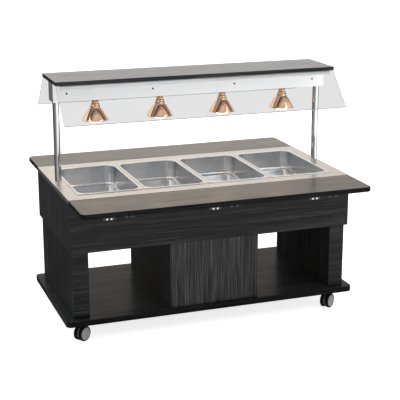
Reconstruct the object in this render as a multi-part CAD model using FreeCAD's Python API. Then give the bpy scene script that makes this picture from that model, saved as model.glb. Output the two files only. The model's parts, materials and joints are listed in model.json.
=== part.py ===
import FreeCAD, Part
import math
import os
from FreeCAD import Vector

# Every length is in millimetres. X runs along the trolley, Y from the front
# to the rear, and Z up from the floor under the middle of the trolley.

# Overall lengths
BODY_END_SPACE = 62.0
BODY_HEIGHT = 328.0
APRON_HEIGHT = 260.0
APRON_DEPTH = 704.0
PANEL = 18.0
OVERRUN = 5.0
RUNNING_GAP = 0.05
SIDE_GAP = 0.3

# Casters
CASTER_HEIGHT = 88.0
CASTER_INSET_X = 99.0
CASTER_INSET_Y = 62.0
CASTER_TRAIL = 20.0
CASTER_HEADING = -55.0
CASTER_PLATE = 60.0
CASTER_PLATE_SHEET = 3.0
CASTER_SCREW_INSET = 9.0
CASTER_SCREW_RADIUS = 3.2
KINGPIN_RADIUS = 3.5
KINGPIN_LENGTH = 20.0
SWIVEL_RADIUS = 22.0
SWIVEL_THICKNESS = 6.0
WEB_THICKNESS = 12.0
WEB_BOSS_RADIUS = 12.0
WHEEL_RADIUS = 37.5
WHEEL_WIDTH = 16.0
WHEEL_SPACE = 14.0
TYRE_THICKNESS = 5.0
TYRE_ROUNDING = 2.5
HUB_RECESS = 1.2
HUB_LIP = 3.0
CASTER_AXLE_RADIUS = 4.0

# Base board and the end legs that stand on it
BASE_OVERHANG = 31.0
BASE_MARGIN = 15.0
BASE_THICKNESS = 30.0
BASE_CORNER = 24.0
BASE_EDGE = 2.0
LEG_INSET = 10.0
LEG_WIDTH = 79.0
LEG_SETBACK = 21.0

# Cabinet in the middle, with a door at the rear
CABINET_WIDTH = 457.0
CABINET_SETBACK = 5.0
DOOR_GAP = 2.0
DOOR_TOP_GAP = 12.0
CABINET_RAIL_HEIGHT = 30.0
DOOR_HINGE_LENGTH = 50.0
DOOR_HINGE_INSET = 55.0
DOOR_LEAF = 38.0
DOOR_KNUCKLE_RADIUS = 4.0
DOOR_PIN_RADIUS = 2.0
HINGE_SHEET = 2.0
DOOR_HANDLE_LENGTH = 110.0
DOOR_HANDLE_RADIUS = 5.0
DOOR_HANDLE_FOOT_RADIUS = 4.0
DOOR_HANDLE_REACH = 28.0
DOOR_HANDLE_INSET = 40.0

# Worktop sheet and the openings in it
PLATE_SETBACK = 10.0
SHEET = 1.5
END_RIM = 20.0
PLATE_CORNER = 2.0
PAN_WIDTH = 325.0
PAN_DEPTH = 530.0
PAN_HEIGHT = 100.0
PAN_GAP = 4.0
PAN_COUNT = 4
PAN_FLANGE = 12.0
PAN_RIM_LIFT = 3.5
PAN_SHEET = 1.0
PAN_RIM_CORNER = 12.0
PAN_WALL_CORNER = 48.0
PAN_FLOOR_ROUNDING = 14.0
PAN_SEAT = 8.0
OPENING_CORNER = 44.0
BAR_HEIGHT = 14.0
BAR_REACH = 12.0

# Water well under the pans
TANK_MARGIN = 15.0
TANK_HEIGHT = 150.0
TANK_SHEET = 1.2
TANK_FLANGE = 8.0
ELEMENT_RADIUS = 4.0
ELEMENT_LIFT = 20.0
ELEMENT_SPACING = 110.0
ELEMENT_END_SPACE = 60.0
ELEMENT_NUT_RADIUS = 9.0
ELEMENT_NUT_THICKNESS = 4.0
ELEMENT_TAIL = 12.0

# Drain from the well into the cabinet
DRAIN_Y = 170.0
DRAIN_PIPE_RADIUS = 14.0
DRAIN_BORE_RADIUS = 11.5
DRAIN_FLANGE_RADIUS = 24.0
DRAIN_FLANGE_THICKNESS = 3.0
DRAIN_DROP = 150.0
DRAIN_BODY = 44.0
DRAIN_SPOUT = 36.0
DRAIN_CLEARANCE = 4.0
DRAIN_STEM_RADIUS = 5.0
DRAIN_STEM_DEPTH = 8.0
DRAIN_LEVER_REACH = 80.0
DRAIN_LEVER_WIDTH = 16.0
DRAIN_LEVER_THICKNESS = 3.0
DRAIN_LEVER_STAND = 12.0

# Posts, lamp housing and canopy board
CANOPY_RISE = 517.0
BOARD_END_GAP = 1.0
BOARD_DEPTH = 291.0
BOARD_THICKNESS = 18.0
HOUSING_END_INSET = 8.0
HOUSING_DEPTH = 93.0
HOUSING_HEIGHT = 96.0
HOUSING_SHEET = 1.5
HOUSING_SCREW_INSET = 67.0
HOUSING_SCREW_DROP = 57.0
POST_RADIUS = 16.0
POST_WALL = 1.5
POST_INSET = 31.0
POST_PLUG = 14.0
POST_GAP = 0.3
STUD_RADIUS = 6.0
STUD_LENGTH = 24.0
STUD_NUT_RADIUS = 11.0
STUD_NUT_THICKNESS = 8.0
SCREW_RADIUS = 2.5
SCREW_LENGTH = 14.0
SCREW_HEAD_RADIUS = 5.0
SCREW_HEAD_HEIGHT = 2.2

# Glass screens under the canopy board
GLASS_END_INSET = 2.5
GLASS_SLOPE_LENGTH = 222.0
GLASS_TILT = 43.7
GLASS_THICKNESS = 6.0
GLASS_EDGE_GAP = 0.3
RAIL_SHEET = 2.0
RAIL_GRIP = 18.0
RAIL_FLANGE = 24.0
RAIL_END_INSET = 20.0

# Heat lamps
SHADE_RADIUS = 64.0
SHADE_HEIGHT = 96.0
SHADE_SHEET = 1.2
SHADE_DROP = 9.0
STEM_RADIUS = 11.0
STEM_COLLAR_RADIUS = 14.0
STEM_COLLAR_HEIGHT = 3.0
STEM_NUT_RADIUS = 17.0
STEM_NUT_HEIGHT = 5.0
STEM_TAIL = 8.0
SOCKET_RADIUS = 16.5
SOCKET_LENGTH = 26.0
BULB_RADIUS = 43.0
BULB_HEIGHT = 68.0
SHADE_TIER_SHARE = 0.14
SHADE_CROWN_SHARES = [(0.31, 0.00), (0.27, 0.035), (0.245, 0.085), (0.255, 0.125)]
SHADE_BELL_SHARES = [
    (0.315, SHADE_TIER_SHARE), (0.345, 0.20), (0.375, 0.29), (0.365, 0.345), (0.385, 0.375), (0.47, 0.415),
    (0.56, 0.50), (0.70, 0.64), (0.83, 0.78), (0.93, 0.89), (0.985, 0.955), (1.00, 0.985), (0.99, 1.00),
]
BULB_OUTLINE_SHARES = [
    (0.30, 0.00), (0.33, 0.14), (0.52, 0.30), (0.80, 0.50), (0.96, 0.64), (1.00, 0.74), (0.97, 0.84),
    (0.82, 0.92), (0.55, 0.98), (0.25, 1.00),
]

# Folding shelves, one along each long side
SHELF_WIDTH = 254.0
SHELF_THICKNESS = 24.0
SHELF_CORNER = 28.0
SHELF_EDGE = 3.0
SHELF_INNER_GAP = 1.0
APRON_TOP_GAP = 0.5
HINGE_OUT = 12.0
HINGE_DROP = 8.0
HINGE_END_SPACE = 189.0
HINGE_COUNT = 3
HINGE_WIDTH = 60.0
HINGE_LEAF_DROP = 78.0
HINGE_LEAF_REACH = 56.0
KNUCKLE_RADIUS = 4.5
KNUCKLE_END = 16.0
HINGE_PIN_RADIUS = 2.5
LEAF_SCREW_SPACING = 21.0
LEAF_SCREW_INSET = 6.0

# Folding stays that hold a shelf up, one beside each hinge
STAY_OFFSET = 100.0
STAY_PLATE_WIDTH = 46.0
STAY_PLATE_HEIGHT = 40.0
STAY_FOOT_DROP = 64.0
STAY_FOOT_OUT = 9.0
STAY_HEAD_OUT = 125.0
STAY_HEAD_DROP = 7.0
STAY_HEAD_PLATE = 40.0
STAY_HEAD_SHEET = 1.5
LINK_WIDTH = 10.0
LINK_THICKNESS = 2.5
LINK_GAP = 0.4
LINK_SLACK = 0.1
LINK_FOLD_SLACK = 0.2
LINK_PIN_RADIUS = 2.5
LINK_RIVET_RADIUS = 4.0
LINK_RIVET_HEIGHT = 1.5
EAR_THICKNESS = 2.5
EAR_MARGIN = 5.0
SHELF_FOLD = 90.0

# Controls on the right end
CONTROL_WIDTH = 200.0
CONTROL_HEIGHT = 100.0
CONTROL_SHEET = 2.0
CONTROL_DROP = 130.0
CONTROL_CUTOUT_MARGIN = 15.0
CONTROL_BOX_DEPTH = 36.0
CONTROL_SPACING = 60.0
KNOB_RADIUS = 20.0
KNOB_LENGTH = 18.0
KNOB_SKIRT_RADIUS = 24.0
KNOB_SKIRT_LENGTH = 4.0
KNOB_STEM_RADIUS = 3.0
KNOB_STEM_LENGTH = 14.0
KNOB_POINTER_WIDTH = 3.0
KNOB_POINTER_DEPTH = 1.5
THERMOSTAT_BODY = 34.0
SWITCH_WIDTH = 14.0
SWITCH_HALF_HEIGHT = 13.0
SWITCH_FRONT = 8.0
SWITCH_DIP = 5.0
SWITCH_BACK = 5.0
SWITCH_TILT = 8.0
SWITCH_GAP = 3.0
SWITCH_BEZEL = 4.0
SWITCH_BEZEL_HEIGHT = 2.0
PILOT_RADIUS = 7.0
PILOT_BORE = 5.0
PILOT_HEIGHT = 6.0
GLAND_RADIUS = 12.0
GLAND_BORE_RADIUS = 4.5
GLAND_LENGTH = 22.0
GLAND_NECK_RADIUS = 8.0
GLAND_BELOW = 205.0
GLAND_SPIGOT_GAP = 0.2

# Sizes and places worked out from the ones above
PAN_PITCH = PAN_WIDTH + PAN_GAP
BODY_LENGTH = PAN_COUNT * PAN_PITCH - PAN_GAP + 2 * BODY_END_SPACE
BASE_LENGTH = BODY_LENGTH + 2 * BASE_OVERHANG
BASE_DEPTH = APRON_DEPTH + 2 * BASE_MARGIN
LEG_DEPTH = APRON_DEPTH - 2 * LEG_SETBACK
CABINET_DEPTH = APRON_DEPTH - 2 * CABINET_SETBACK
PLATE_DEPTH = APRON_DEPTH - 2 * PLATE_SETBACK
BOARD_LENGTH = BODY_LENGTH - 2 * BOARD_END_GAP
HOUSING_LENGTH = BOARD_LENGTH - 2 * HOUSING_END_INSET
GLASS_LENGTH = BOARD_LENGTH - 2 * GLASS_END_INSET
HALF_BODY = BODY_LENGTH / 2
HALF_APRON = APRON_DEPTH / 2
HALF_PLATE = PLATE_DEPTH / 2
BASE_TOP = CASTER_HEIGHT + BASE_THICKNESS
APRON_BOTTOM = BASE_TOP + BODY_HEIGHT
WORKTOP = APRON_BOTTOM + APRON_HEIGHT
SHELF_UNDER = WORKTOP - SHELF_THICKNESS
APRON_TOP = SHELF_UNDER - APRON_TOP_GAP
END_TOP = WORKTOP - END_RIM
PLATE_UNDER = WORKTOP - SHEET
PAN_TOP = WORKTOP + PAN_RIM_LIFT
OPENING_HALF_WIDTH = PAN_WIDTH / 2 - PAN_SEAT
OPENING_HALF_DEPTH = PAN_DEPTH / 2 - PAN_SEAT
BAR_WIDTH = PAN_PITCH - 2 * OPENING_HALF_WIDTH
WELL_HALF_LENGTH = (PAN_COUNT - 1) * PAN_PITCH / 2 + OPENING_HALF_WIDTH + TANK_MARGIN
WELL_HALF_DEPTH = OPENING_HALF_DEPTH + TANK_MARGIN
TANK_BOTTOM = PLATE_UNDER - TANK_HEIGHT
BOARD_TOP = WORKTOP + CANOPY_RISE
BOARD_UNDER = BOARD_TOP - BOARD_THICKNESS
HOUSING_BOTTOM = BOARD_UNDER - HOUSING_HEIGHT
POST_X = HALF_BODY - POST_INSET
SHADE_TOP = HOUSING_BOTTOM - SHADE_DROP
SHADE_PLATE = SHADE_TOP - SHADE_TIER_SHARE * SHADE_HEIGHT
SOCKET_TOP = SHADE_PLATE - SHADE_SHEET
BULB_TOP = SOCKET_TOP - SOCKET_LENGTH
HINGE_Z = SHELF_UNDER - HINGE_DROP
HINGE_SPACING = (BODY_LENGTH - 2 * HINGE_END_SPACE) / (HINGE_COUNT - 1)
HINGE_Y = -(HALF_APRON + HINGE_OUT)
LEG_OUTER = HALF_BODY - LEG_INSET
LEG_INNER = LEG_OUTER - LEG_WIDTH
CONTROL_Z = END_TOP - CONTROL_DROP
HALF_TURN = 180.0
FULL_TURN = 360.0


# Plain shapes

def box(x, y, z):
    """Box between the limits x, y and z, each a (low, high) pair."""
    size = (x[1] - x[0], y[1] - y[0], z[1] - z[0])
    return Part.makeBox(*size, Vector(x[0], y[0], z[0]))


def centred_box(half_x, half_y, z, centre=(0, 0)):
    """Box about a vertical axis, given by half its width and depth."""
    cx, cy = centre
    return box((cx - half_x, cx + half_x), (cy - half_y, cy + half_y), z)


def edges_along(shape, axis):
    """Straight edges of a shape that run along one axis."""
    found = []
    for edge in shape.Edges:
        run = edge.Vertexes[-1].Point.sub(edge.Vertexes[0].Point)
        if run.Length > 0 and abs(run.dot(axis)) > run.Length * math.cos(math.radians(1)):
            found.append(edge)
    return found


def rounded_box(half_x, half_y, z, radius, centre=(0, 0)):
    """Box about a vertical axis whose upright corners are rounded."""
    shape = centred_box(half_x, half_y, z, centre)
    return shape.makeFillet(radius, edges_along(shape, Vector(0, 0, 1)))


def edges_at_height(shape, height):
    """Edges that lie wholly in one level plane."""
    flat = []
    for edge in shape.Edges:
        limits = edge.BoundBox
        if abs(limits.ZMin - height) < SIDE_GAP and abs(limits.ZMax - height) < SIDE_GAP:
            flat.append(edge)
    return flat


def basin(half_x, half_y, z, corner, floor_rounding, centre=(0, 0)):
    """Rounded box whose lower edge is rounded as well."""
    shape = rounded_box(half_x, half_y, z, corner, centre)
    return shape.makeFillet(floor_rounding, edges_at_height(shape, z[0]))


def rod(radius, start, end):
    """Round bar from one point to another."""
    run = Vector(*end).sub(Vector(*start))
    return Part.makeCylinder(radius, run.Length, Vector(*start), run)


def upright(radius, z, centre=(0, 0)):
    """Upright cylinder between two heights."""
    return rod(radius, (centre[0], centre[1], z[0]), (centre[0], centre[1], z[1]))


def turned(outline, centre):
    """Solid of revolution about a vertical axis, from (radius, height) points."""
    points = [Vector(radius, 0, height) for radius, height in outline]
    closed = [Vector(0, 0, points[0].z)] + points + [Vector(0, 0, points[-1].z), Vector(0, 0, points[0].z)]
    solid = Part.Face(Part.makePolygon(closed)).revolve(Vector(0, 0, 0), Vector(0, 0, 1), FULL_TURN)
    solid.translate(Vector(centre[0], centre[1], 0))
    return solid


def prism_x(outline, x):
    """Prism along X from (y, z) points."""
    points = [Vector(x[0], py, pz) for py, pz in outline]
    face = Part.Face(Part.makePolygon(points + points[:1]))
    return face.extrude(Vector(x[1] - x[0], 0, 0))


def joined(shapes):
    """One solid from shapes that touch."""
    return shapes[0].multiFuse(shapes[1:]).removeSplitter()


def cut_away(shape, tools):
    """Shape with every tool taken out of it."""
    return shape.cut(Part.makeCompound(tools))


def turned_to_rear(shape):
    """Copy of a front piece, turned half way round to the rear."""
    copy = shape.copy()
    copy.rotate(Vector(0, 0, 0), Vector(0, 0, 1), HALF_TURN)
    return copy


def write(name, solids):
    """Write one named node, which may hold several separate solids."""
    shape = solids[0] if len(solids) == 1 else Part.makeCompound(solids)
    shape.exportStep(f"parts/{name}.step")


# Casters

def caster_places():
    """Names and swivel axes of the four casters."""
    x = BASE_LENGTH / 2 - CASTER_INSET_X
    y = BASE_DEPTH / 2 - CASTER_INSET_Y
    return {
        "front_left": (-x, -y),
        "front_right": (x, -y),
        "rear_left": (-x, y),
        "rear_right": (x, y),
    }


def placed_caster(shape, place):
    """Turn a caster piece to its heading and move it to its swivel axis."""
    shape.rotate(Vector(0, 0, 0), Vector(0, 0, 1), CASTER_HEADING)
    shape.translate(Vector(place[0], place[1], 0))
    return shape


def caster_plate(place):
    """Square top plate with its screw holes and the pin that the fork turns on."""
    half = CASTER_PLATE / 2
    low = CASTER_HEIGHT - CASTER_PLATE_SHEET
    plate = centred_box(half, half, (low, CASTER_HEIGHT), place)
    reach = half - CASTER_SCREW_INSET
    holes = []
    for dx in (-reach, reach):
        for dy in (-reach, reach):
            centre = (place[0] + dx, place[1] + dy)
            holes.append(upright(CASTER_SCREW_RADIUS, (low - OVERRUN, CASTER_HEIGHT + OVERRUN), centre))
    pin = upright(KINGPIN_RADIUS, (low - KINGPIN_LENGTH, low), place)
    return joined([cut_away(plate, holes), pin])


def caster_fork(place):
    """Swivel disc and the web between the wheels, which carries the axle."""
    top = CASTER_HEIGHT - CASTER_PLATE_SHEET - SIDE_GAP
    disc = upright(SWIVEL_RADIUS, (top - SWIVEL_THICKNESS, top))
    half = WEB_THICKNESS / 2
    boss = rod(WEB_BOSS_RADIUS, (-half, -CASTER_TRAIL, WHEEL_RADIUS), (half, -CASTER_TRAIL, WHEEL_RADIUS))
    under = top - SWIVEL_THICKNESS
    outline = [
        (SWIVEL_RADIUS - KINGPIN_RADIUS, under),
        (-SWIVEL_RADIUS, under),
        (-CASTER_TRAIL - WEB_BOSS_RADIUS, WHEEL_RADIUS),
        (-CASTER_TRAIL + WEB_BOSS_RADIUS, WHEEL_RADIUS),
    ]
    web = prism_x(outline, (-half, half))
    solid = joined([disc, web, boss])
    axle_hole = rod(
        CASTER_AXLE_RADIUS + RUNNING_GAP,
        (-half - OVERRUN, -CASTER_TRAIL, WHEEL_RADIUS),
        (half + OVERRUN, -CASTER_TRAIL, WHEEL_RADIUS),
    )
    low = CASTER_HEIGHT - CASTER_PLATE_SHEET - KINGPIN_LENGTH - SIDE_GAP
    pin_hole = upright(KINGPIN_RADIUS + RUNNING_GAP, (low, top + OVERRUN))
    return placed_caster(cut_away(solid, [axle_hole, pin_hole]), place)


def wheel_span(side):
    """Inner and outer end of one wheel along the axle, on side -1 or 1."""
    inner = side * WHEEL_SPACE / 2
    outer = side * (WHEEL_SPACE / 2 + WHEEL_WIDTH)
    return inner, outer


def axle_rod(radius, x0, x1):
    """Round bar on the wheel axis."""
    return rod(radius, (x0, -CASTER_TRAIL, WHEEL_RADIUS), (x1, -CASTER_TRAIL, WHEEL_RADIUS))


def caster_tyres(place):
    """The two rubber rings of a twin wheel."""
    tyres = []
    for side in (-1, 1):
        inner, outer = wheel_span(side)
        drum = axle_rod(WHEEL_RADIUS, inner, outer)
        rims = [edge for edge in drum.Edges if edge.Curve.TypeId == "Part::GeomCircle"]
        drum = drum.makeFillet(TYRE_ROUNDING, rims)
        bore = axle_rod(WHEEL_RADIUS - TYRE_THICKNESS, inner - side * OVERRUN, outer + side * OVERRUN)
        tyres.append(placed_caster(drum.cut(bore), place))
    return tyres


def caster_hubs(place):
    """Wheel discs with a raised lip round a plain cap, and the axle that joins them."""
    disc_radius = WHEEL_RADIUS - TYRE_THICKNESS
    pieces = []
    for side in (-1, 1):
        inner, outer = wheel_span(side)
        disc = axle_rod(disc_radius, inner, outer)
        recess = axle_rod(disc_radius - HUB_LIP, outer - side * HUB_RECESS, outer + side * OVERRUN)
        pieces.append(disc.cut(recess))
    pieces.append(axle_rod(CASTER_AXLE_RADIUS, -WHEEL_SPACE / 2, WHEEL_SPACE / 2))
    return placed_caster(joined(pieces), place)


def write_casters():
    """Write the plates as one node, and a fork, tyres and hubs for each caster."""
    places = caster_places()
    write("caster_plates", [caster_plate(place) for place in places.values()])
    for name, place in places.items():
        write(f"{name}_caster_fork", [caster_fork(place)])
        write(f"{name}_caster_tyres", caster_tyres(place))
        write(f"{name}_caster_hubs", [caster_hubs(place)])


# Laminate body

def base_board():
    """Base board with rounded corners and eased edges."""
    shape = rounded_box(BASE_LENGTH / 2, BASE_DEPTH / 2, (CASTER_HEIGHT, BASE_TOP), BASE_CORNER)
    return shape.makeChamfer(BASE_EDGE, edges_at_height(shape, BASE_TOP))


def leg_panels():
    """Outer and inner side panel of both end legs."""
    half = LEG_DEPTH / 2 - PANEL
    panels = []
    for side in (-1, 1):
        for face in (LEG_OUTER, LEG_INNER + PANEL):
            x = sorted((side * face, side * (face - PANEL)))
            panels.append(box(x, (-half, half), (BASE_TOP, APRON_BOTTOM)))
    return panels


def leg_strips():
    """Front and rear strip that close both end legs."""
    strips = []
    for side in (-1, 1):
        x = sorted((side * LEG_INNER, side * LEG_OUTER))
        for end in (-1, 1):
            y = sorted((end * LEG_DEPTH / 2, end * (LEG_DEPTH / 2 - PANEL)))
            strips.append(box(x, y, (BASE_TOP, APRON_BOTTOM)))
    return strips


def cabinet_sides():
    """Left and right wall of the cabinet, and the rail between them over the door."""
    half_y = CABINET_DEPTH / 2 - PANEL
    outer = CABINET_WIDTH / 2
    walls = []
    for side in (-1, 1):
        x = sorted((side * outer, side * (outer - PANEL)))
        walls.append(box(x, (-half_y, half_y), (BASE_TOP, APRON_BOTTOM)))
    inner = outer - PANEL
    rail_z = (APRON_BOTTOM - CABINET_RAIL_HEIGHT, APRON_BOTTOM)
    return walls + [box((-inner, inner), (half_y - PANEL, half_y), rail_z)]


def cabinet_front():
    """Plain front panel of the cabinet."""
    y = (-CABINET_DEPTH / 2, -CABINET_DEPTH / 2 + PANEL)
    return box((-CABINET_WIDTH / 2, CABINET_WIDTH / 2), y, (BASE_TOP, APRON_BOTTOM))


def cabinet_door():
    """Rear door, which covers the edges of both cabinet walls."""
    y = (CABINET_DEPTH / 2 - PANEL + SIDE_GAP, CABINET_DEPTH / 2)
    z = (BASE_TOP + DOOR_GAP, APRON_BOTTOM - DOOR_TOP_GAP)
    return box((-CABINET_WIDTH / 2, CABINET_WIDTH / 2), y, z)


def door_hinge_spans():
    """Lower and upper end of each door hinge."""
    low = BASE_TOP + DOOR_HINGE_INSET
    high = APRON_BOTTOM - DOOR_HINGE_INSET
    return [(low, low + DOOR_HINGE_LENGTH), (high - DOOR_HINGE_LENGTH, high)]


def door_axis():
    """Place of the door's hinge axis."""
    return CABINET_WIDTH / 2, CABINET_DEPTH / 2 + DOOR_KNUCKLE_RADIUS


def door_hinges():
    """Fixed leaves with their end knuckles, and the pins."""
    x, y = door_axis()
    third = DOOR_HINGE_LENGTH / 3
    pieces = []
    for low, high in door_hinge_spans():
        leaf = box((x, x + HINGE_SHEET), (y - DOOR_LEAF, y), (low, high))
        knuckle = upright(DOOR_KNUCKLE_RADIUS, (low, high), (x, y))
        reach = DOOR_KNUCKLE_RADIUS + OVERRUN
        gap = centred_box(reach, DOOR_KNUCKLE_RADIUS + SIDE_GAP, (low + third, high - third), (x, y))
        leaf = joined([leaf, knuckle]).cut(gap)
        pin = upright(DOOR_PIN_RADIUS, (low, high), (x, y))
        pieces += [leaf.cut(pin), pin]
    return pieces


def door_handle():
    """Bow handle on the free side of the door."""
    x = -CABINET_WIDTH / 2 + DOOR_HANDLE_INSET
    face = CABINET_DEPTH / 2
    out = face + DOOR_HANDLE_REACH
    middle = (BASE_TOP + APRON_BOTTOM) / 2
    low = middle - DOOR_HANDLE_LENGTH / 2
    high = middle + DOOR_HANDLE_LENGTH / 2
    grip = upright(DOOR_HANDLE_RADIUS, (low - DOOR_HANDLE_RADIUS, high + DOOR_HANDLE_RADIUS), (x, out))
    feet = [rod(DOOR_HANDLE_FOOT_RADIUS, (x, face, z), (x, out, z)) for z in (low, high)]
    return joined([grip] + feet)


def door_fittings():
    """Leaves that turn with the door, and its handle."""
    x, y = door_axis()
    third = DOOR_HINGE_LENGTH / 3
    pieces = [door_handle()]
    for low, high in door_hinge_spans():
        z = (low + third + SIDE_GAP, high - third - SIDE_GAP)
        leaf = box((x - DOOR_LEAF, x), (y - DOOR_KNUCKLE_RADIUS, y - DOOR_KNUCKLE_RADIUS + HINGE_SHEET), z)
        knuckle = upright(DOOR_KNUCKLE_RADIUS, z, (x, y))
        bore = upright(DOOR_PIN_RADIUS + RUNNING_GAP, (z[0] - OVERRUN, z[1] + OVERRUN), (x, y))
        pieces.append(joined([leaf, knuckle]).cut(bore))
    return pieces


def apron_front():
    """Front panel of the upper box, which hides the ends of the end panels."""
    y = (-HALF_APRON, -HALF_APRON + PANEL)
    return box((-HALF_BODY, HALF_BODY), y, (APRON_BOTTOM, APRON_TOP))


def control_cutout():
    """Space in the right end panel behind the control plate."""
    half_y = CONTROL_WIDTH / 2 - CONTROL_CUTOUT_MARGIN
    half_z = CONTROL_HEIGHT / 2 - CONTROL_CUTOUT_MARGIN
    x = (HALF_BODY - PANEL - OVERRUN, HALF_BODY + OVERRUN)
    return box(x, (-half_y, half_y), (CONTROL_Z - half_z, CONTROL_Z + half_z))


def gland_place():
    """Height of the cable gland on the right end panel."""
    return END_TOP - GLAND_BELOW


def apron_ends():
    """Left and right end panel of the upper box."""
    half_y = HALF_APRON - PANEL
    left = box((-HALF_BODY, -HALF_BODY + PANEL), (-half_y, half_y), (APRON_BOTTOM, END_TOP))
    right = box((HALF_BODY - PANEL, HALF_BODY), (-half_y, half_y), (APRON_BOTTOM, END_TOP))
    z = gland_place()
    neck = rod(
        GLAND_NECK_RADIUS + GLAND_SPIGOT_GAP,
        (HALF_BODY - PANEL - OVERRUN, 0, z),
        (HALF_BODY + OVERRUN, 0, z),
    )
    return [left, cut_away(right, [control_cutout(), neck])]


def apron_bottom():
    """Bottom of the upper box, with the hole for the drain."""
    half_x = HALF_BODY - PANEL
    half_y = HALF_APRON - PANEL
    board = centred_box(half_x, half_y, (APRON_BOTTOM, APRON_BOTTOM + PANEL))
    z = (APRON_BOTTOM - OVERRUN, APRON_BOTTOM + PANEL + OVERRUN)
    return board.cut(upright(DRAIN_PIPE_RADIUS + DRAIN_CLEARANCE, z, (0, DRAIN_Y)))


def write_body():
    """Write the laminate pieces and the door's metal parts."""
    write("base_board", [base_board()])
    write("leg_panels", leg_panels())
    write("leg_strips", leg_strips())
    write("cabinet_sides", cabinet_sides())
    write("cabinet_front", [cabinet_front()])
    write("cabinet_door", [cabinet_door()])
    write("door_hinges", door_hinges())
    write("door_fittings", door_fittings())
    write("apron_front", [apron_front()])
    write("apron_rear", [turned_to_rear(apron_front())])
    write("apron_ends", apron_ends())
    write("apron_bottom", [apron_bottom()])


# Worktop, pans and water well

def pan_places():
    """Centres of the pans along X."""
    first = -(PAN_COUNT - 1) * PAN_PITCH / 2
    return [first + index * PAN_PITCH for index in range(PAN_COUNT)]


def worktop_plate():
    """Folded sheet with one opening for each pan and a hole for each post."""
    top = rounded_box(HALF_BODY, HALF_PLATE, (END_TOP, WORKTOP), PLATE_CORNER)
    inside = centred_box(HALF_BODY - SHEET, HALF_PLATE - SHEET, (END_TOP - OVERRUN, PLATE_UNDER))
    sheet = top.cut(inside)
    rims = []
    for side in (-1, 1):
        y = sorted((side * HALF_PLATE, side * (HALF_PLATE - SHEET)))
        x = HALF_BODY - PLATE_CORNER
        rims.append(box((-x, x), y, (APRON_TOP, END_TOP)))
    cuts = []
    z = (PLATE_UNDER - OVERRUN, WORKTOP + OVERRUN)
    for x in pan_places():
        cuts.append(rounded_box(OPENING_HALF_WIDTH, OPENING_HALF_DEPTH, z, OPENING_CORNER, (x, 0)))
    for x in (-POST_X, POST_X):
        cuts.append(upright(STUD_RADIUS + POST_GAP, z, (x, 0)))
    return cut_away(joined([sheet] + rims), cuts)


def pan_cross_bars():
    """Square tubes that stiffen the strips between the openings."""
    half_x = BAR_WIDTH / 2
    half_y = OPENING_HALF_DEPTH + BAR_REACH
    z = (PLATE_UNDER - BAR_HEIGHT, PLATE_UNDER)
    bore_z = (z[0] + TANK_SHEET, z[1] - TANK_SHEET)
    places = pan_places()
    bars = []
    for left, right in zip(places, places[1:]):
        centre = ((left + right) / 2, 0)
        tube = centred_box(half_x, half_y, z, centre)
        bars.append(tube.cut(centred_box(half_x - TANK_SHEET, half_y + OVERRUN, bore_z, centre)))
    return bars


def pan(x):
    """Deep pan with a flat flange and a folded lip that stands on the worktop."""
    half_x = PAN_WIDTH / 2
    half_y = PAN_DEPTH / 2
    place = (x, 0)
    skirt = rounded_box(half_x, half_y, (WORKTOP, PAN_TOP), PAN_RIM_CORNER, place)
    under = rounded_box(
        half_x - PAN_SHEET,
        half_y - PAN_SHEET,
        (WORKTOP - OVERRUN, PAN_TOP - PAN_SHEET),
        PAN_RIM_CORNER - PAN_SHEET,
        place,
    )
    wall_x = half_x - PAN_FLANGE
    wall_y = half_y - PAN_FLANGE
    floor = PAN_TOP - PAN_HEIGHT
    outer = basin(wall_x, wall_y, (floor, PAN_TOP), PAN_WALL_CORNER, PAN_FLOOR_ROUNDING, place)
    inner = basin(
        wall_x - PAN_SHEET,
        wall_y - PAN_SHEET,
        (floor + PAN_SHEET, PAN_TOP + OVERRUN),
        PAN_WALL_CORNER - PAN_SHEET,
        PAN_FLOOR_ROUNDING - PAN_SHEET,
        place,
    )
    return joined([skirt.cut(under), outer]).cut(inner)


def tank_floor():
    """Flat floor of the water tank with the drain hole."""
    z = (TANK_BOTTOM, TANK_BOTTOM + TANK_SHEET)
    sheet = centred_box(WELL_HALF_LENGTH + TANK_SHEET, WELL_HALF_DEPTH + TANK_SHEET, z)
    return sheet.cut(upright(DRAIN_BORE_RADIUS, (z[0] - OVERRUN, z[1] + OVERRUN), (0, DRAIN_Y)))


def tank_long_wall(side):
    """Front or rear wall of the water tank, folded outwards into its flange."""
    reach = TANK_SHEET + TANK_FLANGE
    inner = side * WELL_HALF_DEPTH
    outer = side * (WELL_HALF_DEPTH + TANK_SHEET)
    edge = side * (WELL_HALF_DEPTH + reach)
    wall_x = (-WELL_HALF_LENGTH - TANK_SHEET, WELL_HALF_LENGTH + TANK_SHEET)
    flange_x = (-WELL_HALF_LENGTH - reach, WELL_HALF_LENGTH + reach)
    wall = box(wall_x, tuple(sorted((inner, outer))), (TANK_BOTTOM + TANK_SHEET, PLATE_UNDER))
    flange = box(flange_x, tuple(sorted((inner, edge))), (PLATE_UNDER - TANK_SHEET, PLATE_UNDER))
    return joined([wall, flange])


def tank_end_wall(side):
    """Left or right wall of the water tank, folded outwards into its flange."""
    inner = side * WELL_HALF_LENGTH
    outer = side * (WELL_HALF_LENGTH + TANK_SHEET)
    edge = side * (WELL_HALF_LENGTH + TANK_SHEET + TANK_FLANGE)
    y = (-WELL_HALF_DEPTH, WELL_HALF_DEPTH)
    wall = box(tuple(sorted((inner, outer))), y, (TANK_BOTTOM + TANK_SHEET, PLATE_UNDER))
    flange = box(tuple(sorted((inner, edge))), y, (PLATE_UNDER - TANK_SHEET, PLATE_UNDER))
    return joined([wall, flange])


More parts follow.
